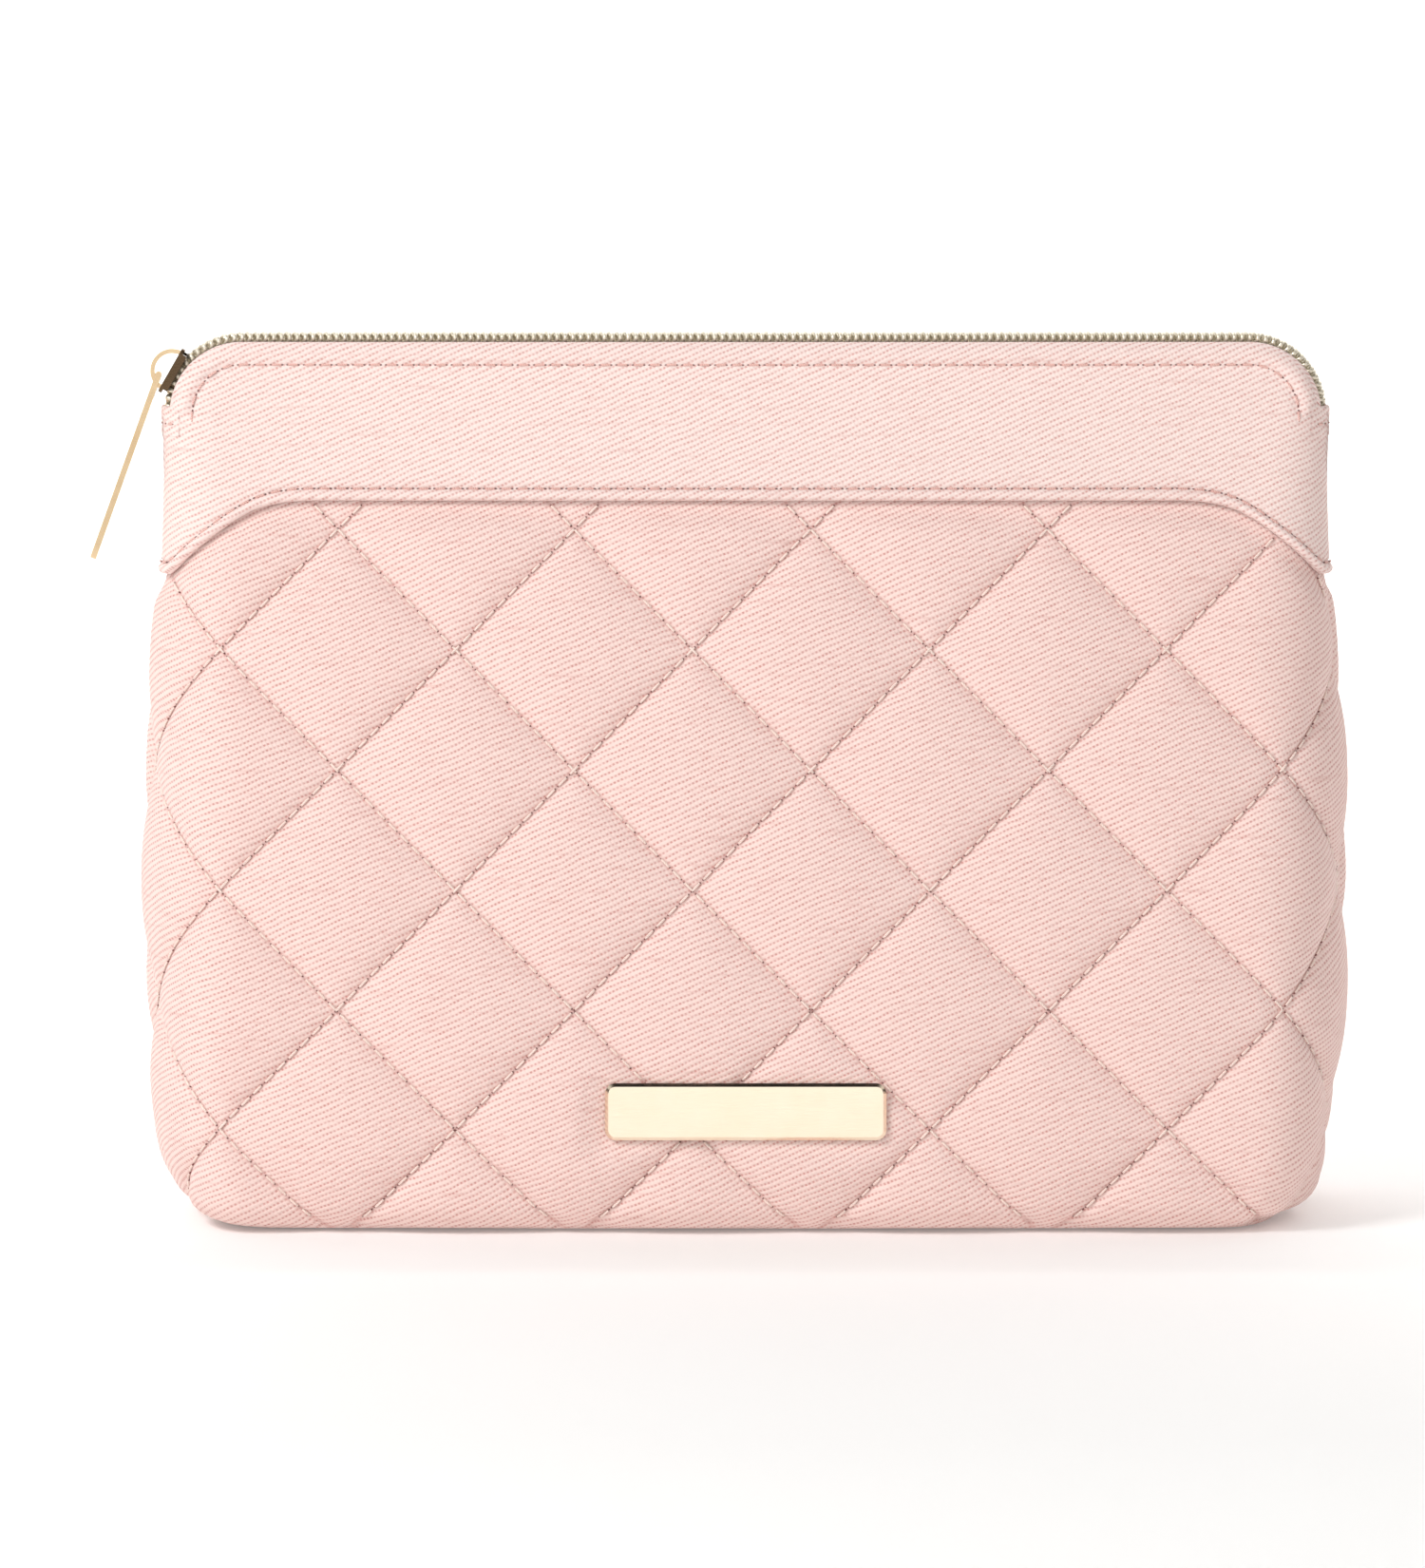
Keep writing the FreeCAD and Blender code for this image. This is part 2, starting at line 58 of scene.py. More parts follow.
# ---- sizes that the frame's solids share ---------------------
SECTIONS = np.array([      # height, half width, half depth at the side, run of the rounded end
    (0.0, 112.0, 30.0, 15.0),
    (3.0, 118.0, 33.8, 15.0),
    (10.0, 122.3, 36.0, 16.0),
    (25.0, 125.3, 36.2, 18.0),
    (55.0, 127.2, 32.5, 21.0),
    (95.0, 126.7, 25.5, 21.0),
    (135.0, 124.4, 17.0, 19.0),
    (160.0, 123.6, 11.2, 13.0),
    (190.0, 124.0, 5.4, 10.0),
])
WALL_CROWN = 1.3
END_POWER = 2.3
CHAIN_Z = 187.1
CORNER_R = 15.5
CORNER_X = 106.8
CORNER_Z = CHAIN_Z - CORNER_R
COIL_PITCH = 1.67
ZIP_FOOT = 168.0
HEM_HEIGHT = 153.6
HEM_SIDE_HEIGHT = 137.2
YOKE_RADIUS = 14.1         # the yoke's corner, before its edge is rolled
YOKE_TOP = CORNER_Z + YOKE_RADIUS
YOKE_END_Z = 170.6
TAPE_FACE = -4.75          # where the yoke's rolled edge meets the zip's tape
TAB_LOW = 166.2
TAB_HIGH = 172.9
TAB_STITCH = 169.2
PLATE_CENTRE = (0.0, 26.8)
PLATE_HALF = (29.6, 6.0)

# ---- cloth ---------------------------------------------------
QUILT = 50.0               # a diamond's width and height
QUILT_RISING = -84.0       # a stitch line rising to the right has across - height = this
QUILT_FALLING = 61.5       # and one that falls has across + height = this
GRID = QUILT / 50          # mesh step that puts points on every stitch line
PUFF = 2.5                 # how far a diamond's middle stands above its creases' shoulders
PUFF_POWER = 2.6
CREASE = 0.8               # depth of the narrow crease along the stitching
CREASE_WIDTH = 1.1
PANEL_BASE = -1.3          # the stitching's place from the wall's surface
PANEL_INSIDE = -3.0
PRESSED = -1.05            # the panel's height where the hem or the plate holds it down
PLATE_REACH = 12.0         # how far from the plate the panel is drawn in
PLATE_SLOPE = 0.34
QUILT_THREAD_R = 0.28
QUILT_THREAD_PROUD = 0.26
YOKE_OUT = 0.55
HEM_STITCH = 2.4
TOP_STITCH = 3.9
STITCH = 3.5
STITCH_GAP = 0.5
THREAD_R = 0.25


# ---- the wall's surface --------------------------------------
def smooth_table(z, column):
    """Catmull-Rom through a column of SECTIONS."""
    zs, vs = SECTIONS[:, 0], SECTIONS[:, column]
    slopes = np.gradient(vs, zs)
    i = np.clip(np.searchsorted(zs, z) - 1, 0, len(zs) - 2)
    h = zs[i + 1] - zs[i]
    t = np.clip((z - zs[i]) / h, 0, 1)
    return ((2 * t**3 - 3 * t**2 + 1) * vs[i] + (t**3 - 2 * t**2 + t) * h * slopes[i]
            + (3 * t**2 - 2 * t**3) * vs[i + 1] + (t**3 - t**2) * h * slopes[i + 1])


ARC_STEPS = 48


def build_arcs():
    """For many heights, the section from its middle to its side seam: distance along it, x and -y."""
    heights = np.arange(0, 192.0, 1.0)
    rows = []
    for z in heights:
        w, d, run = (float(smooth_table(z, c)) for c in (1, 2, 3))
        a = np.linspace(0, math.pi / 2, ARC_STEPS)
        x = np.concatenate([np.linspace(0, w - run, 30)[:-1], w - run + run * np.sin(a) ** (2 / END_POWER)])
        y = np.concatenate([np.full(29, d), d * np.maximum(np.cos(a), 0) ** (2 / END_POWER)])
        y = y + WALL_CROWN * (1 - (x / w) ** 2) * np.minimum(1, y / d)
        along = np.concatenate([[0], np.cumsum(np.hypot(np.diff(x), np.diff(y)))])
        rows.append((along, x, y))
    return heights, rows


ARC_HEIGHTS, ARCS = build_arcs()
SEAM_AT = np.array([r[0][-1] for r in ARCS])
EVEN = np.linspace(0, 1, 400)
ARC_X = np.array([np.interp(EVEN * r[0][-1], r[0], r[1]) for r in ARCS])
ARC_Y = np.array([np.interp(EVEN * r[0][-1], r[0], r[2]) for r in ARCS])


def seam_at(z):
    return np.interp(z, ARC_HEIGHTS, SEAM_AT)


def on_wall(across, z):
    """The wall's surface: across is the distance along the section from its middle."""
    across, z = np.broadcast_arrays(np.asarray(across, float), np.asarray(z, float))
    share = np.clip(np.abs(across) / seam_at(z), 0, 1) * (len(EVEN) - 1)
    row = np.clip(z, 0, ARC_HEIGHTS[-1])
    i, j = np.minimum(row.astype(int), len(ARCS) - 2), np.minimum(share.astype(int), len(EVEN) - 2)
    s, t = row - i, share - j

    def bilinear(grid):
        return ((1 - s) * ((1 - t) * grid[i, j] + t * grid[i, j + 1])
                + s * ((1 - t) * grid[i + 1, j] + t * grid[i + 1, j + 1]))

    return np.stack([np.sign(across) * bilinear(ARC_X), -bilinear(ARC_Y), z], axis=-1)


def wall_normal(across, z):
    step = 0.8
    inside = np.clip(across, -seam_at(z) + step, seam_at(z) - step)
    du = on_wall(inside + step, z) - on_wall(inside - step, z)
    dz = on_wall(inside, np.clip(z + step, 0, 190)) - on_wall(inside, np.clip(z - step, 0, 190))
    n = np.cross(du, dz)
    return n / np.linalg.norm(n, axis=-1, keepdims=True)


def off_wall(across, z, out):
    return on_wall(across, z) + wall_normal(across, z) * np.asarray(out)[..., None]


def across_of(x, z):
    """The distance along the section at which the front's surface has this x."""
    x, z = np.broadcast_arrays(np.asarray(x, float), np.asarray(z, float))
    found = np.empty(x.shape)
    for k in np.ndindex(x.shape):
        i = min(int(z[k]), len(ARCS) - 1)
        found[k] = math.copysign(np.interp(abs(x[k]), ARC_X[i], EVEN * SEAM_AT[i]), x[k])
    return found


HEM_LINE = np.array([      # the yoke's lower edge: how far out, and how high
    (0, HEM_HEIGHT), (92, HEM_HEIGHT), (96, 153.4), (100, 152.8), (104, 151.6), (108, 149.4), (112, 146.6),
    (116, 143.6), (120, 140.5), (122.5, 138.7), (125, 137.5), (140, HEM_SIDE_HEIGHT), (170, HEM_SIDE_HEIGHT),
])


def hem_z(across):
    """The yoke's lower edge."""
    out = np.abs(np.asarray(across, float))
    return np.interp(out, HEM_LINE[:, 0], HEM_LINE[:, 1])


# ---- the zip's path ------------------------------------------
FOOT_RUN = CORNER_Z - ZIP_FOOT
BEND_RUN = math.pi / 2 * CORNER_R
STRAIGHT = 2 * CORNER_X
PATH = 2 * (FOOT_RUN + BEND_RUN) + STRAIGHT


def zip_path(s):
    """Points (x, z) and outward normals (x, z) at distances s along the zip, from its left foot."""
    s = np.asarray(s, float)
    mirrored = s > PATH / 2
    t = np.where(mirrored, PATH - s, s)
    a = np.clip((t - FOOT_RUN) / CORNER_R, 0, math.pi / 2)
    x = -CORNER_X - CORNER_R * np.cos(a) + np.maximum(t - FOOT_RUN - BEND_RUN, 0)
    z = CORNER_Z + CORNER_R * np.sin(a) + np.minimum(t - FOOT_RUN, 0)
    flip = np.where(mirrored, -1.0, 1.0)
    return np.stack([x * flip, z], -1), np.stack([-np.cos(a) * flip, np.sin(a)], -1)


# ---- meshes --------------------------------------------------
def make_object(name, points, faces, fabric=None, material=None):
    """A mesh object from points. fabric is where each point lies on its cloth."""
    mesh = bpy.data.meshes.new(name)
    mesh.from_pydata((np.asarray(points) * MM).tolist(), [], [tuple(int(i) for i in f) for f in faces])
    if fabric is not None:
        layer = mesh.uv_layers.new(name="fabric")
        loops = np.empty(len(mesh.loops), int)
        mesh.loops.foreach_get("vertex_index", loops)
        layer.data.foreach_set("uv", (np.asarray(fabric)[loops] * MM).astype(np.float32).ravel())
    mesh.polygons.foreach_set("use_smooth", [True] * len(mesh.polygons))
    mesh.validate()
    mesh.update()
    obj = bpy.data.objects.new(name, mesh)
    bpy.context.scene.collection.objects.link(obj)
    if material is not None:
        mesh.materials.append(material)
    return obj


def grid_faces(rows, columns, start=0, flip=False, closed=False):
    """Quads of a grid of points stored row by row. closed joins the last row to the first."""
    last = rows if closed else rows - 1
    i, j = np.meshgrid(np.arange(last), np.arange(columns - 1), indexing="ij")
    a = start + i * columns + j
    b = start + ((i + 1) % rows) * columns + j
    quads = np.stack([a, a + 1, b + 1, b], -1).reshape(-1, 4)
    return quads[:, ::-1] if flip else quads


def turned(points):
    """Half a turn about Z, from the front to the back."""
    return np.asarray(points) * [-1, -1, 1]


def clean(obj, distance=0.02):
    """Joins points that lie together and drops the faces that this empties."""
    made = bmesh.new()
    made.from_mesh(obj.data)
    bmesh.ops.remove_doubles(made, verts=made.verts, dist=distance * MM)
    bmesh.ops.dissolve_degenerate(made, edges=made.edges, dist=1e-7)
    loose = [v for v in made.verts if not v.link_faces]
    bmesh.ops.delete(made, geom=loose, context="VERTS")
    made.to_mesh(obj.data)
    made.free()


def soft_halves(name, points, faces, fabric, material, wall, nodes, slot, fill=None, cut=None):
    """A soft piece of the front, or the back, as a left and a right half.

    fill, which would say that it is padded, is not used. cut, which would say that it is a sheet and give each
    half's flat width, length and area, and how it is held, is not used.
    """
    points, faces, fabric = np.asarray(points), np.asarray(faces), np.asarray(fabric)
    if wall == "back":
        points = turned(points)
    middle = points[faces][:, :, 0].mean(axis=1)
    for side, chosen in (("left", middle < 0), ("right", middle >= 0)):
        used, renumbered = np.unique(faces[chosen], return_inverse=True)
        obj = make_object(f"{name}_{side}", points[used], renumbered.reshape(-1, faces.shape[1]),
                          fabric[used], material)
        clean(obj)
        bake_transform(obj)
        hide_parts(*nodes)


# ---- materials -----------------------------------------------
class Nodes:
    """Short ways to add nodes to a material."""

    def __init__(self, name):
        self.material = bpy.data.materials.new(name)
        self.material.use_nodes = True
        self.tree = self.material.node_tree
        self.shader = self.tree.nodes["Principled BSDF"]

    def add(self, kind, **settings):
        node = self.tree.nodes.new(kind)
        for key, value in settings.items():
            setattr(node, key, value)
        return node

    def feed(self, socket, value):
        if isinstance(value, bpy.types.NodeSocket):
            self.tree.links.new(value, socket)
        elif value is not None:
            socket.default_value = value

    def math(self, operation, a, b=None, c=None):
        node = self.add("ShaderNodeMath", operation=operation)
        for socket, value in zip(node.inputs, (a, b, c)):
            self.feed(socket, value)
        return node.outputs[0]

    def mix(self, share, a, b):
        node = self.add("ShaderNodeMix", data_type="RGBA")
        self.feed(node.inputs[0], share)
        self.feed(node.inputs[6], a)
        self.feed(node.inputs[7], b)
        return node.outputs[2]

    def ramp(self, value, low, high, to_low=0.0, to_high=1.0):
        node = self.add("ShaderNodeMapRange", interpolation_type="SMOOTHSTEP")
        for socket, x in zip(node.inputs, (value, low, high, to_low, to_high)):
            self.feed(socket, x)
        return node.outputs[0]

    def noise(self, vector, scale, detail=3.0, roughness=0.55):
        node = self.add("ShaderNodeTexNoise")
        self.feed(node.inputs["Vector"], vector)
        self.feed(node.inputs["Scale"], scale)
        self.feed(node.inputs["Detail"], detail)
        self.feed(node.inputs["Roughness"], roughness)
        return node.outputs["Fac"]

    def scaled(self, vector, scale):
        node = self.add("ShaderNodeVectorMath", operation="MULTIPLY")
        self.feed(node.inputs[0], vector)
        node.inputs[1].default_value = scale
        return node.outputs[0]

    def bump(self, height, distance):
        node = self.add("ShaderNodeBump")
        self.feed(node.inputs["Height"], height)
        node.inputs["Distance"].default_value = distance
        self.feed(self.shader.inputs["Normal"], node.outputs[0])

    def set(self, **values):
        for name, value in values.items():
            self.feed(self.shader.inputs[name.replace("_", " ")], value)


def srgb(r, g, b):
    """Linear colour from 0-255 display values."""
    return tuple(((c / 255 + 0.055) / 1.055) ** 2.4 if c > 10 else c / 3294 for c in (r, g, b)) + (1.0,)


TWILL_ANGLE = math.radians(24.3)
TWILL_PITCH = 1.16
TWILL_FLOATS = (1.036, 0.595)    # cycles of the crossing threads per millimetre, across and up


def stitch_line(n, u, v, sign, start):
    """Distance to the nearest stitch line of a family, in millimetres."""
    place = n.math("MULTIPLY_ADD", v, sign, u)
    cycle = n.math("FLOORED_MODULO", n.math("SUBTRACT", place, start - QUILT / 2), QUILT)
    return n.math("MULTIPLY", n.math("ABSOLUTE", n.math("SUBTRACT", cycle, QUILT / 2)), math.sqrt(0.5))


def twill(name, rib, valley, depth=1.0, quilted=False):
    """Diagonal cotton twill: light ribs, dotted darker valleys, a faint marl, and if quilted, painted shade in
    the creases.
    """
    n = Nodes(name)
    uv = n.add("ShaderNodeUVMap", uv_map="fabric").outputs[0]
    place = n.scaled(uv, (1000, 1000, 0))
    split = n.add("ShaderNodeSeparateXYZ")
    n.feed(split.inputs[0], place)
    u, v = split.outputs[0], split.outputs[1]
    c, s = math.cos(TWILL_ANGLE), math.sin(TWILL_ANGLE)
    wander = n.math("MULTIPLY", n.math("SUBTRACT", n.noise(place, 0.11), 0.5), 0.9)
    rise = n.math("SUBTRACT", n.math("MULTIPLY", v, c / TWILL_PITCH), n.math("MULTIPLY", u, s / TWILL_PITCH))
    rise = n.math("ADD", rise, wander)
    along = n.math("ADD", n.math("MULTIPLY", u, TWILL_FLOATS[0]), n.math("MULTIPLY", v, TWILL_FLOATS[1]))
    ridge = n.math("MULTIPLY_ADD", n.math("COSINE", n.math("MULTIPLY", rise, math.tau)), 0.5, 0.5)
    dot = n.math("MULTIPLY_ADD", n.math("COSINE", n.math("MULTIPLY", along, math.tau)), 0.5, 0.5)
    dip = n.ramp(ridge, 0.62, 0.06)
    uneven = n.ramp(n.noise(place, 0.55, 4.0), 0.3, 0.7, 0.55, 1.0)
    mark = n.math("MULTIPLY", n.math("MULTIPLY", dip, n.math("MULTIPLY_ADD", dot, 0.85, 0.25)), uneven)
    colour = n.mix(mark, rib, valley)
    marl = n.noise(n.scaled(uv, (70, 900, 0)), 1.0, 5.0, 0.7)
    streak = n.ramp(marl, 0.52, 0.72, 0.0, 0.30)
    colour = n.mix(streak, colour, valley)
    pale = n.ramp(n.noise(n.scaled(uv, (45, 1300, 0)), 1.0, 3.0), 0.60, 0.78, 0.0, 0.35)
    colour = n.mix(pale, colour, rib)
    # painted shade: near the quilting's stitch lines the colour is pulled towards the valley colour, for shade
    # in the creases
    if quilted:
        near = n.math("MINIMUM", stitch_line(n, u, v, -1.0, QUILT_RISING),
                      stitch_line(n, u, v, 1.0, QUILT_FALLING))
        colour = n.mix(n.ramp(near, 1.0, 0.1, 0.0, 0.35), colour, valley)
    n.feed(n.shader.inputs["Base Color"], colour)
    height = n.math("ADD", n.math("MULTIPLY", ridge, 0.55), n.math("MULTIPLY", dot, -0.35))
    height = n.math("ADD", height, n.math("MULTIPLY", n.noise(place, 2.2, 2.0), 0.35))
    n.bump(height, 0.00016 * depth)
    n.set(Roughness=0.9, Sheen_Weight=0.12, Sheen_Roughness=0.5)
    n.set(Specular_IOR_Level=0.18)
    return n.material


def thread(name, colour, shade, hole_shade, hole_share):
    """Twisted sewing thread. The first fabric coordinate runs along a stitch, whose ends go into holes, painted
    dark as shade.
    """
    n = Nodes(name)
    uv = n.add("ShaderNodeUVMap", uv_map="fabric").outputs[0]
    split = n.add("ShaderNodeSeparateXYZ")
    n.feed(split.inputs[0], n.scaled(uv, (1000, 1000, 0)))
    twist = n.math("ADD", n.math("MULTIPLY", split.outputs[0], 40.0), n.math("MULTIPLY", split.outputs[1], 9.0))
    ply = n.math("MULTIPLY_ADD", n.math("SINE", twist), 0.5, 0.5)
    from_end = n.math("SUBTRACT", 0.5, n.math("ABSOLUTE", n.math("SUBTRACT", split.outputs[0], 0.5)))
    body = n.mix(ply, shade, colour)
    # painted shade: the stitch's ends take the dark hole colour, for shade in the needle holes
    n.feed(n.shader.inputs["Base Color"], n.mix(n.ramp(from_end, hole_share, hole_share + 0.06), hole_shade, body))
    n.bump(ply, 0.00008)
    n.set(Roughness=0.6, Sheen_Weight=0.2)
    return n.material


def plain_weave(name, light, dark, pitch):
    """A plain woven cloth, for the lining and the zip's tapes."""
    n = Nodes(name)
    uv = n.add("ShaderNodeUVMap", uv_map="fabric").outputs[0]
    split = n.add("ShaderNodeSeparateXYZ")
    n.feed(split.inputs[0], n.scaled(uv, (1000 * math.pi / pitch, 1000 * math.pi / pitch, 0)))
    weave = n.math("MULTIPLY", n.math("SINE", split.outputs[0]), n.math("SINE", split.outputs[1]))
    weave = n.math("MULTIPLY_ADD", weave, 0.5, 0.5)
    blotch = n.noise(n.scaled(uv, (60, 60, 0)), 1.0, 4.0)
    colour = n.mix(n.math("MULTIPLY", weave, n.ramp(blotch, 0.2, 0.8, 0.6, 1.0)), dark, light)
    n.feed(n.shader.inputs["Base Color"], colour)
    n.bump(weave, 0.00009)
    n.set(Roughness=0.75, Sheen_Weight=0.15)
    return n.material


def metal(name, bright, warm, roughness, scratch=0.00001, metallic=1.0):
    """Plated metal with faint wear and a slightly uneven polish."""
    n = Nodes(name)
    place = n.add("ShaderNodeTexCoord").outputs["Object"]
    tone = n.noise(place, 160.0, 3.0)
    n.feed(n.shader.inputs["Base Color"], n.mix(tone, bright, warm))
    fine = n.noise(n.scaled(place, (300, 1800, 1800)), 1.0, 4.0, 0.7)
    n.feed(n.shader.inputs["Roughness"], n.ramp(fine, 0.2, 0.8, roughness * 0.7, roughness * 1.5))
    n.bump(fine, scratch)
    n.set(Metallic=metallic)
    return n.material


TWILL = twill("pink_twill", srgb(245, 218, 211), srgb(206, 148, 140), quilted=True)
# painted light: the panel's twill made lighter, for the light that the yoke's upward-tilted face catches; the
# zip tabs use it too
YOKE_TWILL_LIT = twill("pink_twill_yoke_lit", srgb(247, 226, 220), srgb(212, 160, 152))
# each thread's third colour is painted shade in the needle holes at its stitches' ends
THREAD = thread("cream_thread", srgb(255, 240, 230), srgb(246, 214, 202), srgb(128, 66, 60), 0.07)
TOP_THREAD = thread("pink_thread", srgb(246, 208, 198), srgb(214, 158, 148), srgb(112, 58, 56), 0.11)
LINING = plain_weave("lining_weave", srgb(240, 214, 204), srgb(214, 176, 166), 0.5)
TAPE = plain_weave("tape_weave", srgb(112, 84, 68), srgb(58, 40, 32), 0.6)
GOLD = metal("pale_gold", srgb(251, 237, 215), srgb(246, 229, 202), 0.12, 0.000004)
COIL = metal("champagne_coil", srgb(246, 240, 224), srgb(218, 206, 182), 0.30, 0.00002, metallic=0.65)
CHAMPAGNE = metal("champagne_gold", srgb(238, 214, 176), srgb(218, 184, 142), 0.10, 0.000004)
# painted shade: the slider body's champagne metal, darkened to stand for its flange in shadow
SHADED_CHAMPAGNE = metal("champagne_painted_shade", srgb(112, 92, 70), srgb(84, 66, 50), 0.14)
STEEL = metal("plain_steel", srgb(190, 190, 190), srgb(160, 160, 160), 0.4)


# ---- quilted walls -------------------------------------------
def to_line(across, z):
    """Distances to the nearest stitch line of each family, in millimetres."""
    def near(value, start):
        return np.abs((value - start + QUILT / 2) % QUILT - QUILT / 2) / math.sqrt(2)
    return near(across - z, QUILT_RISING), near(across + z, QUILT_FALLING)


def pillow(across, z):
    """0 on the stitching, 1 in the middle of a diamond."""
    half = QUILT / 2 / math.sqrt(2)
    a, b = (1 - (1 - np.clip(d / half, 0, 1)) ** PUFF_POWER for d in to_line(across, z))
    return a * b


def crease(across, z):
    """0 in the crease along the stitching, 1 beyond its shoulders."""
    a, b = to_line(across, z)
    return (1 - np.exp(-(a / CREASE_WIDTH) ** 1.3)) * (1 - np.exp(-(b / CREASE_WIDTH) ** 1.3))


def smoothstep(value, low, high):
    t = np.clip((value - low) / (high - low), 0, 1)
    return t * t * (3 - 2 * t)


def held_flat(across, z, out):
    """The panel's height above the wall, pressed down under the hem and under the name plate."""
    free = smoothstep(hem_z(across) - z, -0.5, 7.0)
    out = PRESSED + (out - PRESSED) * free
    from_plate = np.hypot(np.maximum(np.abs(across - PLATE_CENTRE[0]) - PLATE_HALF[0], 0),
                          np.maximum(np.abs(z - PLATE_CENTRE[1]) - PLATE_HALF[1], 0))
    most = -0.1 + PLATE_SLOPE * from_plate
    drawn_in = np.minimum(out, most) - 0.12 * np.exp(-(((out - most) / 0.5) ** 2))
    return np.where(from_plate < PLATE_REACH, drawn_in, out)


def grid_values(low, high, phase, step):
    first = math.ceil((low - phase) / step) * step + phase
    return np.arange(first, high, step)


def panel_grid(step):
    """Across and height of a quilted wall's points, on the stitch lines' own grid."""
    phase_u = (QUILT_FALLING + QUILT_RISING) / 2
    phase_z = (QUILT_FALLING - QUILT_RISING) / 2
    widest = seam_at(np.arange(0, 150)).max()
    u = grid_values(-widest - step, widest + step, phase_u, step)
    z = grid_values(1.5, HEM_HEIGHT + 3.0, phase_z, step)
    return np.meshgrid(u, z)


def simulate_puff(across, z, start):
    """Cloth, held along its stitching and pushed out by its padding. Returns the points' places."""
    rows, columns = across.shape
    obj = make_object("quilt_cloth", start.reshape(-1, 3), grid_faces(rows, columns))
    a, b = to_line(across, z)
    edge = np.abs(across) >= seam_at(z) - 0.5
    held = (np.minimum(a, b) < 0.3) | edge
    held[0, :] = held[-1, :] = True
    pins = obj.vertex_groups.new(name="pins")
    pins.add(np.flatnonzero(held.ravel()).tolist(), 1.0, "REPLACE")
    cloth = obj.modifiers.new("Cloth", "CLOTH")
    s = cloth.settings
    s.quality = 4
    s.mass = 0.2
    s.tension_stiffness = s.compression_stiffness = 12
    s.shear_stiffness = 5
    s.bending_stiffness = 0.25
    s.use_pressure = True
    s.uniform_pressure_force = 2.5
    s.shrink_min = -0.022
    s.vertex_group_mass = "pins"
    s.effector_weights.gravity = 0
    cloth.collision_settings.use_collision = False
    last = 22
    cloth.point_cache.frame_start, cloth.point_cache.frame_end = 1, last
    for f in range(1, last + 1):
        bpy.context.scene.frame_set(f)
    evaluated = obj.evaluated_get(bpy.context.evaluated_depsgraph_get())
    found = np.empty(rows * columns * 3, np.float32)
    evaluated.data.vertices.foreach_get("co", found)
    bpy.context.scene.frame_set(1)
    bpy.data.objects.remove(obj)
    return found.reshape(rows, columns, 3).astype(float) / MM


PUFF_CAP = 3.4
RELAX = 0.6                # share of the simulated shape in the final one


def quilted_surface():
    """A quilted wall's outer face: across, height and points, at the fine step."""
    fine_u, fine_z = panel_grid(GRID)
    seam = seam_at(fine_z)
    across = np.clip(fine_u, -seam, seam)
    puff = pillow(across, fine_z)
    side = np.clip((seam - np.abs(across)) / 5.0, 0, 1)
    side = side * (2 - side)
    foot = np.clip((fine_z - 1.0) / 7.0, 0, 1)
    swell = (PUFF * puff) * (0.35 + 0.65 * foot) + CREASE * crease(across, fine_z)
    out = held_flat(across, fine_z, PANEL_BASE + swell * side)
    points = off_wall(across, fine_z, out)
    coarse = (slice(None, None, 2), slice(None, None, 2))
    start = points[coarse]
    moved = simulate_puff(across[coarse], fine_z[coarse], start) - start
    length = np.linalg.norm(moved, axis=-1, keepdims=True)
    moved *= np.minimum(1, PUFF_CAP / np.maximum(length, 1e-9)) * RELAX
    free_height = 3.0
    kept = held_flat(across, fine_z, np.full(across.shape, free_height)) - PRESSED
    kept /= free_height - PRESSED
    points = points + spread_between(moved, points.shape) * kept[..., None]
    return across, fine_z, points


def spread_between(coarse, shape):
    """Values on every second row and column, spread to all of them."""
    rows, columns = shape[:2]
    r = np.minimum(np.arange(rows) / 2, coarse.shape[0] - 1)
    c = np.minimum(np.arange(columns) / 2, coarse.shape[1] - 1)
    i, j = np.minimum(r.astype(int), coarse.shape[0] - 2), np.minimum(c.astype(int), coarse.shape[1] - 2)
    s, t = (r - i)[:, None, None], (c - j)[None, :, None]
    top = (1 - t) * coarse[i][:, j] + t * coarse[i][:, j + 1]
    low = (1 - t) * coarse[i + 1][:, j] + t * coarse[i + 1][:, j + 1]
    return (1 - s) * top + s * low


def quilted_wall(across, z, points):
    """The outer face, turned under at the foot, and a plain inner face: one closed padded piece."""
    rows, columns = across.shape
    seam = seam_at(z[0])
    under_u = np.clip(across[0], -seam, seam)
    foot = on_wall(under_u, np.full(columns, z[0, 0]))
    turned_in = []
    for inset, height in ((1.5, 0.9), (4.0, 0.45), (8.0, 0.5)):
        ring = foot.copy()
        ring[:, 0] *= 1 - inset / 118.0
        ring[:, 1] *= 1 - inset / 34.0
        ring[:, 2] = height
        turned_in.append(ring)
    outer = np.concatenate([np.stack(turned_in[::-1]), points])
    fabric_z = np.concatenate([[z[0] - 9.0, z[0] - 5.0, z[0] - 2.0], z])
    fabric_u = np.concatenate([[across[0]] * 3, across])
    inner = off_wall(across, z, np.full(across.shape, PANEL_INSIDE))
    count = len(outer)
    all_points = np.concatenate([outer.reshape(-1, 3), inner[::-1].reshape(-1, 3)])
    fabric = np.concatenate([
        np.stack([fabric_u, fabric_z], -1).reshape(-1, 2),
        np.stack([across[::-1], z[::-1]], -1).reshape(-1, 2),
    ])
    faces = grid_faces(count + rows, columns, closed=True)
    return all_points, faces, fabric


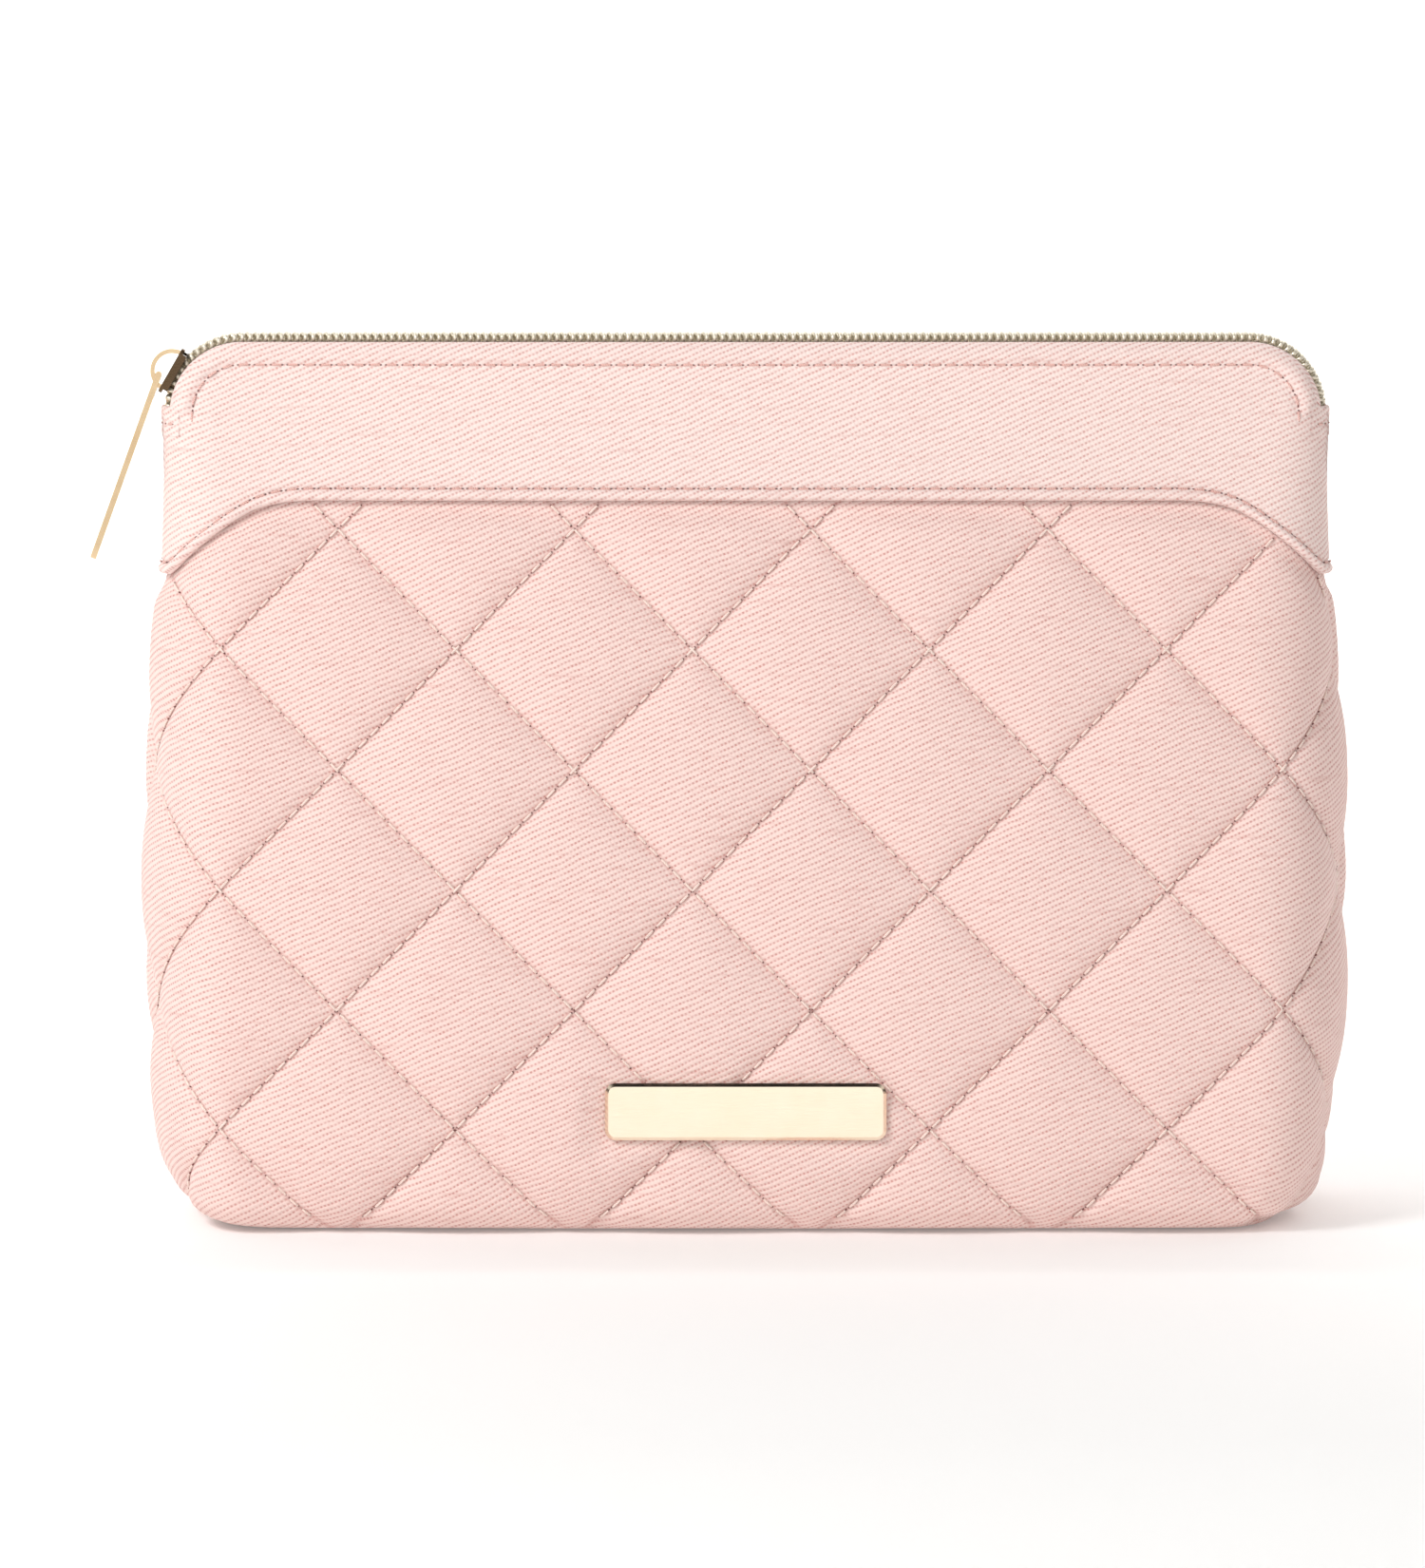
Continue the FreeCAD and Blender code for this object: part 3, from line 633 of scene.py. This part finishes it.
# ---- thread --------------------------------------------------
def stitches(line, normals, radius=THREAD_R, step=STITCH, gap=STITCH_GAP, sunk=0.12):
    """Separate stitches along a line of points: each rises out of the cloth and dips back in."""
    along = np.concatenate([[0], np.cumsum(np.linalg.norm(np.diff(line, axis=0), axis=1))])
    count = max(1, round(along[-1] / step))
    step = along[-1] / count
    sides, rings = 6, 7
    t = np.linspace(0, 1, rings)
    points, faces, fabric = [], [], []
    for k in range(count):
        at = k * step + gap / 2 + t * (step - gap)
        p = np.stack([np.interp(at, along, line[:, c]) for c in range(3)], -1)
        n = np.stack([np.interp(at, along, normals[:, c]) for c in range(3)], -1)
        n /= np.linalg.norm(n, axis=1, keepdims=True)
        d = np.gradient(p, axis=0)
        d /= np.linalg.norm(d, axis=1, keepdims=True)
        side = np.cross(d, n)
        lift = radius * (1.1 * np.sin(np.pi * t) ** 0.6 - 0.25) - sunk
        thick = radius * (0.55 + 0.45 * np.sin(np.pi * t) ** 0.5)
        a = np.arange(sides) / sides * math.tau
        ring = (p + n * lift[:, None])[:, None, :] + thick[:, None, None] * (
            np.cos(a)[None, :, None] * side[:, None, :] + np.sin(a)[None, :, None] * n[:, None, :])
        start = len(points) * sides * rings
        points.append(ring.reshape(-1, 3))
        uv = np.stack(np.broadcast_arrays(t[:, None] * 1.0, a[None, :] * radius), -1)
        fabric.append(uv.reshape(-1, 2))
        for i in range(rings - 1):
            for j in range(sides):
                q = (j + 1) % sides
                faces.append((start + i * sides + j, start + i * sides + q,
                              start + (i + 1) * sides + q, start + (i + 1) * sides + j))
        for i, flip in ((0, True), (rings - 1, False)):
            base = start + i * sides
            cap = [(base, base + 1, base + 2, base + 3), (base, base + 3, base + 4, base + 5)]
            faces += [c[::-1] for c in cap] if flip else cap
    return np.concatenate(points), np.array(faces), np.concatenate(fabric)


def joined(parts):
    """Several (points, faces, fabric) as one."""
    points, faces, fabric, start = [], [], [], 0
    for p, f, w in parts:
        points.append(p)
        faces.append(f + start)
        fabric.append(w)
        start += len(p)
    return np.concatenate(points), np.concatenate(faces), np.concatenate(fabric)


def quilting_thread(across, points):
    """Every stitch line's thread, laid on the quilted face."""
    faces = grid_faces(*across.shape)
    tree = BVHTree.FromPolygons(points.reshape(-1, 3).tolist(), faces.tolist())
    parts = []
    for rising, start in ((True, QUILT_RISING), (False, QUILT_FALLING)):
        for k in range(-5, 7):
            c = start + k * QUILT
            h = np.arange(3.0, HEM_HEIGHT - 0.5, 1.0)
            u = c + h if rising else c - h
            keep = (np.abs(u) < seam_at(h) - 1.0) & (h < hem_z(u) - 0.5)
            if keep.sum() < 6:
                continue
            u, h = u[keep], h[keep]
            guess = off_wall(u, h, np.full(u.shape, PANEL_BASE))
            normal = wall_normal(u, h)
            line = np.array([list(tree.find_nearest(g.tolist())[0]) for g in guess])
            parts.append(stitches(line, normal, radius=QUILT_THREAD_R, sunk=-QUILT_THREAD_PROUD))
    return joined(parts)


# ---- yoke ----------------------------------------------------
def yoke_columns():
    """Matching points along the yoke's top edge and its hem: (across, height, outward, across at the hem)."""
    edge = CORNER_X + YOKE_RADIUS
    side = np.linspace(float(seam_at(YOKE_END_Z)), float(across_of(edge, YOKE_END_Z)), 10)[:-1]
    bend = np.linspace(0, math.pi / 2, 30)
    straight = np.linspace(CORNER_X, 0, 90)[1:]
    top = [(u, YOKE_END_Z, (0.0, 1.0)) for u in side]
    for a in bend:
        x, z = CORNER_X + YOKE_RADIUS * math.cos(a), CORNER_Z + YOKE_RADIUS * math.sin(a)
        top.append((float(across_of(x, z)), z, (math.cos(a), math.sin(a))))
    top += [(u, YOKE_TOP, (0.0, 1.0)) for u in straight]
    hem_u = np.concatenate([
        np.linspace(float(seam_at(HEM_SIDE_HEIGHT)), side[-1], len(side) + 1)[:-1],
        np.linspace(side[-1], CORNER_X, len(bend)),
        straight,
    ])
    right = [(u, h, n, hu) for (u, h, n), hu in zip(top, hem_u)]
    left = [(-u, h, (-n[0], n[1]), -hu) for u, h, n, hu in right[:-1]]
    return left + right[::-1]


def below_top(x, z):
    """How far a point of the yoke is from its top edge."""
    x = np.abs(x)
    round_part = YOKE_RADIUS - np.hypot(np.maximum(x - CORNER_X, 0), np.maximum(z - CORNER_Z, 0))
    beside = np.where(x > CORNER_X, CORNER_X + YOKE_RADIUS - x, YOKE_TOP - z)
    inside = np.where(z > CORNER_Z, round_part, beside)
    return np.where((x <= CORNER_X) | (z > CORNER_Z), np.where(x > CORNER_X, inside, YOKE_TOP - z), 50.0)


def roll(distance, width, height):
    """The swell of folded cloth between an edge and its row of stitches, and the dent at the stitches."""
    swell = np.where(distance < width, np.sin(np.pi * np.clip(distance / width, 0, 1)) ** 0.7 * height, 0)
    dent = -0.38 * np.exp(-(((distance - width) / 0.7) ** 2))
    return swell + dent


def yoke():
    columns = yoke_columns()
    top_u, top_z = (np.array([c[i] for c in columns]) for i in (0, 1))
    hem_u = np.array([c[3] for c in columns])
    out_x, out_z = (np.array([c[2][i] for c in columns]) for i in (0, 1))
    low_z = hem_z(hem_u)
    length = np.hypot(top_u - hem_u, top_z - low_z)
    fine = np.array([0, 0.35, 0.8, 1.2, 1.6, 2.0, 2.4, 2.8, 3.4, 4.2, 5.5])
    middle = np.linspace(0, 1, 26)[1:-1]
    rows_u, rows_z, from_hem = [], [], []
    for k in range(2 * len(fine) + len(middle)):
        if k < len(fine):
            t = fine[k] / length
        elif k < len(fine) + len(middle):
            t = (5.5 + middle[k - len(fine)] * (length - 11.5)) / length
        else:
            t = 1 - fine[2 * len(fine) + len(middle) - 1 - k] * (6.0 / 5.5) / length
        rows_u.append(hem_u + (top_u - hem_u) * t)
        rows_z.append(low_z + (top_z - low_z) * t)
        from_hem.append(t * length)
    u, z = np.array(rows_u), np.array(rows_z)
    near_seam = np.clip((seam_at(z) - np.abs(u)) / 6.0, 0, 1)
    place = on_wall(u, z)
    from_top = below_top(place[..., 0], z)
    hem_roll = roll(np.array(from_hem), HEM_STITCH, 0.85) * (0.3 + 0.7 * near_seam)
    out = YOKE_OUT * near_seam + hem_roll + roll(from_top, TOP_STITCH, 0.8)
    outer = off_wall(u, z, out)
    under = off_wall(u[:1], z[:1] - 0.05, np.full((1, u.shape[1]), -0.5))
    fold = []
    radius = 0.8
    face = outer[-1]
    for angle in np.radians((30, 60, 90, 120, 150, 180)):
        ring = face.copy()
        ring[:, 0] += radius * math.sin(angle) * out_x
        ring[:, 2] += radius * math.sin(angle) * out_z
        ring[:, 1] += (TAPE_FACE - face[:, 1]) * (1 - math.cos(angle)) / 2
        fold.append(ring)
    inside = fold[-1].copy()
    inside[:, 0] -= 4.0 * out_x
    inside[:, 2] -= 4.0 * out_z
    back = off_wall(hem_u, low_z + 1.0, np.full(hem_u.shape, -0.9))
    points = np.concatenate([under, outer, np.stack(fold), inside[None], back[None]])
    extra_u, extra_z = [u[-1]] * 8, [z[-1] + d for d in (0.5, 1.0, 1.6, 2.2, 2.7, 3.2, 7.2, 30.0)]
    fabric = np.stack([np.concatenate([u[:1], u, extra_u]), np.concatenate([z[:1] - 1, z, extra_z])], -1)
    rows, count = points.shape[:2]
    inner = YOKE_RADIUS - TOP_STITCH
    bend = np.linspace(0, math.pi / 2, 40)
    turn_x, turn_z = CORNER_X + inner * np.cos(bend), CORNER_Z + inner * np.sin(bend)
    drop = np.linspace(TAB_STITCH, CORNER_Z, 6)[:-1]
    stitch_x = np.concatenate([np.full(5, turn_x[0]), turn_x, np.linspace(CORNER_X, 0, 40)[1:]])
    stitch_z = np.concatenate([drop, turn_z, np.full(39, turn_z[-1])])
    stitch_u = across_of(stitch_x, stitch_z)
    lines = {
        "hem": (hem_u, low_z + HEM_STITCH),
        "top right": (stitch_u, stitch_z),
        "top left": (-stitch_u, stitch_z),
    }
    return points.reshape(-1, 3), grid_faces(rows, count, closed=True), fabric.reshape(-1, 2), lines


def yoke_thread(lines):
    parts = []
    for u, z in lines.values():
        keep = np.abs(u) < seam_at(z) - 1.5
        u, z = u[keep], z[keep]
        fine = np.linspace(0, len(u) - 1, 900)
        u, z = (np.interp(fine, np.arange(len(u)), v) for v in (u, z))
        line = off_wall(u, z, np.full(u.shape, YOKE_OUT - 0.1))
        parts.append(stitches(line, wall_normal(u, z)))
    return joined(parts)


# ---- zip -----------------------------------------------------
def path_frame(s, y, r):
    """A point beside the zip's path: y across, r out from the path."""
    p, n = zip_path(s)
    p = p + n * np.asarray(r)[..., None]
    return np.stack([p[..., 0], np.broadcast_to(y, p[..., 0].shape), p[..., 1]], -1)


COIL_WIRE = 0.41
COIL_OUT = 3.3
COIL_IN = -0.45
COIL_POINT = 0.42          # how far a loop's outer bend leans along the zip


def coil_row(phase):
    """A row of coil: one wire wound along the path, flat across and rounder at the meeting edge."""
    turns = int(PATH / COIL_PITCH) - 1
    per_turn, sides = 16, 6
    a = np.arange(turns * per_turn + 1) / per_turn * math.tau
    s = COIL_PITCH * (a / math.tau + phase) + 0.9 + COIL_POINT * np.maximum(np.cos(a), 0) ** 1.5
    centre, half = (COIL_OUT + COIL_IN) / 2, (COIL_OUT - COIL_IN) / 2 - COIL_WIRE
    across = centre + half * np.cos(a)
    high = (1.3 - COIL_WIRE) * np.sign(np.sin(a)) * np.abs(np.sin(a)) ** 0.7
    line = path_frame(s, -across, high)
    d = np.gradient(line, axis=0)
    d /= np.linalg.norm(d, axis=1, keepdims=True)
    _, n = zip_path(s)
    along = np.stack([n[:, 1], np.zeros(len(s)), -n[:, 0]], -1)
    side = np.cross(d, along)
    side /= np.linalg.norm(side, axis=1, keepdims=True)
    up = np.cross(side, d)
    b = np.arange(sides) / sides * math.tau
    ring = line[:, None, :] + COIL_WIRE * (np.cos(b)[None, :, None] * side[:, None, :]
                                           + np.sin(b)[None, :, None] * up[:, None, :] * 1.25)
    points = np.concatenate([ring, ring[:, :1]], axis=1)
    fabric = np.stack(np.broadcast_arrays(s[:, None], np.append(b, math.tau)[None, :] * COIL_WIRE), -1)
    return points.reshape(-1, 3), grid_faces(len(s), sides + 1), fabric.reshape(-1, 2)


def tape():
    """A tape, folded: flat beside and under the coil, then hanging inside the yoke."""
    s = np.linspace(0.2, PATH - 0.2, 220)
    profile = [(0.4, -1.3), (2.0, -1.3), (3.4, -1.35), (4.2, -1.7), (4.6, -2.5), (4.65, -4.0), (4.65, -9.5),
               (4.35, -9.5), (4.35, -4.0), (4.25, -2.6), (3.9, -2.0), (3.3, -1.65), (2.0, -1.6), (0.4, -1.6)]
    points = np.stack([path_frame(s, -y, r) for y, r in profile])
    width = np.cumsum([0] + [math.hypot(b[0] - a[0], b[1] - a[1]) for a, b in zip(profile, profile[1:])])
    fabric = np.stack(np.broadcast_arrays(s[None, :], width[:, None]), -1)
    faces = grid_faces(len(profile), len(s), closed=True, flip=True)
    return points.reshape(-1, 3), faces, fabric.reshape(-1, 2)


# ---- lining and base -----------------------------------------
def lining():
    """A loose lining inside a wall, one layer with slow waves in it."""
    z = np.linspace(4.0, 180.0, 60)
    share = np.linspace(-1, 1, 110)
    zz, ss = np.meshgrid(z, share, indexing="ij")
    u = ss * (seam_at(zz) - 0.3)
    wave = 0.35 * np.sin(u / 9.0 + zz / 17.0) * np.sin(zz / 13.0 + 1.0) + 0.2 * np.sin(u / 4.1 - zz / 7.7)
    close = np.clip((zz - 150) / 25, 0, 1)
    out = -3.5 + 1.9 * close + wave * (1 - close) - 0.4
    limit = np.where(np.abs(u) > 100, 160.0, 178.0)
    zz = np.minimum(zz, limit)
    points = off_wall(u, zz, out)
    fabric = np.stack([u, zz], -1)
    return points.reshape(-1, 3), grid_faces(len(z), len(share), flip=True), fabric.reshape(-1, 2)


def base_pad(low, high, inset, puffed, material, name, nodes):
    """A level panel with a rounded outline. puffed shapes its underside like the walls."""
    rings, around = 40, 200
    angle = np.arange(around) / around * math.tau
    c, s = np.cos(angle), np.sin(angle)
    half_x, half_y, power = SECTIONS[0, 1] - inset, SECTIONS[0, 2] - inset, 5.0
    radius = (np.abs(c / half_x) ** power + np.abs(s / half_y) ** power) ** (-1 / power)
    share = np.linspace(0.0, 1.0, rings)
    x = share[:, None] * (radius * c)[None, :]
    y = share[:, None] * (radius * s)[None, :]
    rim = np.clip((1 - share[:, None]) * 30 / 3.0, 0, 1) + 0 * x
    lift = np.zeros(x.shape)
    if puffed:
        lift = 0.9 * (1 - pillow(x, y + 7.0)) * rim + 0.8 * (1 - rim)
    under = np.stack([x, y, low + lift], -1)
    over = np.stack([x, y, np.full(x.shape, high)], -1)
    points = np.concatenate([under, over[::-1]])
    points = np.concatenate([points, points[:, :1]], axis=1)
    fabric = points[..., :2].reshape(-1, 2)
    faces = grid_faces(len(points), around + 1, flip=True)
    obj = make_object(name, points.reshape(-1, 3), faces, fabric, material)
    clean(obj)
    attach(obj, "root")
    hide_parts(*nodes)
    return obj


# ---- zip tabs ------------------------------------------------
def tab_outline(z, grow):
    """Half of a level section of a tab, from its front inner edge round its outer end to the back."""
    ends = np.linspace(-1, 1, 60)
    seam = float(seam_at(z))
    start = float(across_of(119.6, z))
    u = start + (seam - start) * (1 - np.abs(ends))
    side = np.where(ends < 0, 1.0, -1.0)
    out = 0.75 + grow - 0.2 * (1 - np.abs(ends)) ** 3
    p = off_wall(u, np.full(u.shape, z), out)
    p[:, 1] *= side
    middle = np.exp(-((np.abs(ends) / 0.12) ** 2))
    p[:, 1] *= 1 - middle * 0.6
    return p, u * side


def strip_pair(stem, mesh, material, thread_mesh):
    """A sewn strip and its thread at the bag's right end, and the same at its left, fixed to the base."""
    for side, turn in (("right", [1, 1, 1]), ("left", [-1, -1, 1])):
        for name, part, look, nodes in (
                (f"{stem}_{side}_soft", mesh, material, [f"{stem}_{side}"]),
                (f"{stem}_{side}_thread", thread_mesh, TOP_THREAD, [])):
            obj = make_object(name, np.asarray(part[0]) * turn, part[1], part[2], look)
            clean(obj)
            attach(obj, "root")
            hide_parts(*nodes)


def tabs():
    """The folded strip of twill over each end of the zip, sewn across."""
    levels = np.linspace(TAB_LOW, TAB_HIGH, 26)
    round_off = np.clip(np.minimum(levels - TAB_LOW, TAB_HIGH - levels) / 0.7, 0, 1)
    grow = -0.75 * (1 - np.sqrt(1 - (1 - round_off) ** 2)) - 0.3 * np.exp(-(((levels - TAB_STITCH) / 0.5) ** 2))
    sections = [tab_outline(z, g) for z, g in zip(levels, grow)]
    face = np.stack([p for p, _ in sections])
    rear = np.stack([tab_outline(z, -0.75)[0] for z in levels])
    rear[:, :, 0] -= 0.25
    across = np.stack([u for _, u in sections])
    fabric = np.stack([across, np.broadcast_to(levels[:, None], across.shape)], -1)
    points = np.concatenate([face, rear[::-1]])
    fabric = np.concatenate([fabric, fabric[::-1]])
    faces = grid_faces(len(points), points.shape[1], closed=True)
    at = int(np.argmin(np.abs(levels - TAB_STITCH)))
    line = face[at]
    normal = np.gradient(line, axis=0)
    normal = np.stack([-normal[:, 1], normal[:, 0], np.zeros(len(line))], -1)
    normal *= np.sign(normal[:, :1] + 1e-9) * np.sign(line[:, :1])
    thread_mesh = stitches(line[4:-4], normal[4:-4] / np.linalg.norm(normal[4:-4], axis=1, keepdims=True),
                           step=2.6, sunk=0.05)
    mesh = (points.reshape(-1, 3), faces, fabric.reshape(-1, 2))
    strip_pair("zip_tab", mesh, YOKE_TWILL_LIT, thread_mesh)


# ---- side bindings -------------------------------------------
BINDING_HALF = 2.0
BINDING_THICK = 0.55
BINDING_FOLD = 0.22        # how far its folded edges bulge
BINDING_INSET = 4.5        # its outer face, in from the side seam
BINDING_LIFT = 8.0         # it keeps clear of a wall that rises by this as the mouth opens
BINDING_LOW = 3.6
BINDING_HIGH = 164.9


def side_bindings():
    """The woven tape inside each side seam, with folded edges and two rows of stitches."""
    levels = np.linspace(BINDING_LOW, BINDING_HIGH, 120)
    across = np.linspace(-1, 1, 22)
    wide = np.minimum(smooth_table(levels, 1), smooth_table(np.maximum(3.0, levels - BINDING_LIFT), 1))
    zz, ss = np.meshgrid(levels, across, indexing="ij")
    ridge = BINDING_FOLD * np.exp(-(((np.abs(ss) - 0.86) / 0.1) ** 2))
    wave = 0.06 * np.sin(zz / 3.1) * (1 - np.abs(ss))
    outer_x = wide[:, None] - BINDING_INSET + 0 * ss
    inner_x = outer_x - BINDING_THICK - ridge - wave
    outer = np.stack([outer_x, ss * BINDING_HALF, zz], -1)
    inner = np.stack([inner_x, ss * BINDING_HALF, zz], -1)
    ring = np.concatenate([outer, inner[:, ::-1]], axis=1)
    ring = np.concatenate([ring, ring[:, :1]], axis=1)
    flat = np.stack([ring[..., 1], ring[..., 2]], -1)
    faces = grid_faces(*ring.shape[:2])
    threads = []
    for side in (-0.55, 0.55):
        at = int(np.argmin(np.abs(across - side)))
        line = inner[:, at]
        threads.append(stitches(line, np.broadcast_to([-1.0, 0.0, 0.0], line.shape), sunk=0.1))
    mesh = (ring.reshape(-1, 3), faces, flat.reshape(-1, 2))
    strip_pair("side_binding", mesh, LINING, joined(threads))


# ---- build ---------------------------------------------------
YOKE_CUT = (0.132, 0.080, 0.0098, "folded")         # half a yoke, unfolded: metres, metres, square metres
LINING_CUT = (0.140, 0.178, 0.0236, "stretched")    # half a wall's lining


def build_walls():
    across, z, points = quilted_surface()
    wall_mesh = quilted_wall(across, z, points)
    quilt_thread = quilting_thread(across, points)
    yoke_points, yoke_faces, yoke_fabric, lines = yoke()
    top_thread = yoke_thread(lines)
    inner = lining()
    for wall in ("front", "back"):
        soft_halves(f"{wall}_quilted_panel_soft", *wall_mesh, TWILL, wall,
                    [f"{wall}_quilted_panel", f"{wall}_batting"], "twill", fill=0.6)
        soft_halves(f"{wall}_quilting_thread", *quilt_thread, THREAD, wall, [], "twill")
        soft_halves(f"{wall}_yoke_soft", yoke_points, yoke_faces, yoke_fabric, YOKE_TWILL_LIT, wall,
                    [f"{wall}_yoke"], "twill", cut=YOKE_CUT)
        soft_halves(f"{wall}_topstitch", *top_thread, TOP_THREAD, wall, [], "twill")
        soft_halves(f"{wall}_lining_soft", *inner, LINING, wall, [f"{wall}_lining"], "lining",
                    cut=LINING_CUT)


def build_zip():
    for wall, phase in (("front", 0.0), ("back", 0.5)):
        points, faces, fabric = coil_row(phase)
        if wall == "back":
            points, faces = points * [-1, 1, 1], faces[:, ::-1]
        names = [f"zip_coil_{wall}"] + [f"zip_coil_{wall}_{end}_end" for end in ("left", "right")]
        soft_halves(f"{wall}_coil", points, faces, fabric, COIL, wall, names, "zip_coil")
        names = [n.replace("coil", "tape") for n in names]
        soft_halves(f"{wall}_tape", *tape(), TAPE, wall, names, "zip_tape")


def paint(names, material, edge=0.0):
    """Gives CAD nodes a material, and rounds their edges by this many millimetres."""
    for name in names:
        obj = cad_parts[name]
        obj.data.materials.clear()
        obj.data.materials.append(material)
        if edge:
            rounding = obj.modifiers.new("edge", "BEVEL")
            rounding.width = edge * MM
            rounding.segments = 3
            rounding.limit_method = "ANGLE"
            rounding.angle_limit = math.radians(40)
            rounding.harden_normals = True


def build_stage():
    made = bmesh.new()
    profile = [(-3.0, 0.0), (-1.0, 0.0), (0.5, 0.0), (1.0, 0.0), (1.3, 0.0), (1.7, 0.12), (2.0, 0.45),
               (2.1, 1.0), (2.1, 4.0)]
    rows = [[made.verts.new((x, y, z)) for x in (-4.0, 4.0)] for y, z in profile]
    for a, b in zip(rows, rows[1:]):
        made.faces.new((a[0], a[1], b[1], b[0]))
    mesh = bpy.data.meshes.new("floor")
    made.to_mesh(mesh)
    made.free()
    floor = bpy.data.objects.new("floor", mesh)
    bpy.context.scene.collection.objects.link(floor)
    smooth = floor.modifiers.new("smooth", "SUBSURF")
    smooth.levels = smooth.render_levels = 2
    n = Nodes("pale_floor")
    place = n.add("ShaderNodeTexCoord").outputs["Object"]
    n.feed(n.shader.inputs["Base Color"], n.mix(n.noise(place, 3.0), srgb(250, 249, 248), srgb(246, 245, 244)))
    n.set(Roughness=0.9, Emission_Color=(0.94, 1.0, 1.0, 1.0), Emission_Strength=0.12)
    mesh.materials.append(n.material)


def light(name, place, target, size, power, colour=(1, 1, 1)):
    data = bpy.data.lights.new(name, "AREA")
    data.shape, data.size, data.size_y, data.energy, data.color = "RECTANGLE", size[0], size[1], power, colour
    obj = bpy.data.objects.new(name, data)
    obj.location = place
    obj.rotation_euler = (Vector(target) - Vector(place)).to_track_quat("-Z", "Y").to_euler()
    bpy.context.scene.collection.objects.link(obj)


def build_lights():
    aim = (0, 0, 0.08)
    light("key", (-0.95, -0.85, 1.1), aim, (0.5, 0.5), 12.5)
    light("fill", (-0.3, -2.3, 0.5), aim, (2.8, 1.6), 8)
    light("backdrop", (0, 0.5, 1.5), (0, 2.1, 0.7), (4.0, 0.8), 60)
    world = bpy.data.worlds.new("studio")
    world.use_nodes = True
    tree = world.node_tree
    place = tree.nodes.new("ShaderNodeTexCoord")
    split = tree.nodes.new("ShaderNodeSeparateXYZ")
    ramp = tree.nodes.new("ShaderNodeValToRGB")
    tree.links.new(place.outputs["Generated"], split.inputs[0])
    tree.links.new(split.outputs[2], ramp.inputs[0])
    beside = tree.nodes.new("ShaderNodeMath")
    beside.operation = "ABSOLUTE"
    tree.links.new(split.outputs[0], beside.inputs[0])
    flag = tree.nodes.new("ShaderNodeMapRange")
    flag.interpolation_type = "SMOOTHSTEP"
    for socket, value in zip(flag.inputs[1:5], (0.80, 0.93, 1.0, 0.06)):
        socket.default_value = value
    tree.links.new(beside.outputs[0], flag.inputs[0])
    dim = tree.nodes.new("ShaderNodeMix")
    dim.data_type, dim.blend_type = "RGBA", "MULTIPLY"
    dim.inputs[0].default_value = 1.0
    tree.links.new(ramp.outputs[0], dim.inputs[6])
    tree.links.new(flag.outputs[0], dim.inputs[7])
    ramp.color_ramp.elements[0].position, ramp.color_ramp.elements[0].color = 0.72, (1.0, 0.99, 0.98, 1)
    ramp.color_ramp.elements[1].position, ramp.color_ramp.elements[1].color = 0.97, (0.03, 0.03, 0.03, 1)
    background = tree.nodes["Background"]
    tree.links.new(dim.outputs[2], background.inputs[0])
    background.inputs[1].default_value = 0.68
    bpy.context.scene.world = world
    bpy.context.scene.view_settings.view_transform = "Standard"


VIEW_WIDTH = 300.0         # what the picture spans at the bag's front face
VIEW_HEIGHT = VIEW_WIDTH * 1650 / 1500
CAMERA_AWAY = 1800.0
CAMERA_UP = math.radians(7)


def build_camera():
    data = bpy.data.cameras.new("camera")
    data.sensor_width = 36.0
    data.lens = 36.0 * CAMERA_AWAY / VIEW_HEIGHT
    camera = bpy.data.objects.new("camera", data)
    target = Vector((-7.0, -28.0, 95.0)) * MM
    back = Vector((0, -math.cos(CAMERA_UP), math.sin(CAMERA_UP)))
    camera.location = target + back * CAMERA_AWAY * MM
    camera.rotation_euler = (-back).to_track_quat("-Z", "Y").to_euler()
    bpy.context.scene.collection.objects.link(camera)
    bpy.context.scene.camera = camera


build_walls()
build_zip()
tabs()
side_bindings()
base_pad(0.0, 2.6, 0.0, True, TWILL, "base_quilted_soft", ["base_panel", "base_batting"])
base_sheet = base_pad(3.2, 3.6, 2.0, False, LINING, "base_lining_soft", ["base_lining"])
# the slider body's dark colour is painted shade
paint(["slider_body"], SHADED_CHAMPAGNE, edge=0.15)
paint(["slider_crown"], CHAMPAGNE, edge=0.22)
paint(["pull_bar"], CHAMPAGNE, edge=0.3)
paint(["name_plate"], GOLD, edge=0.12)
paint(["name_plate_prongs"], GOLD)
paint(["zip_top_stops", "zip_bottom_stops"], COIL)
paint(["name_plate_washers"], STEEL)
build_stage()
build_lights()
build_camera()
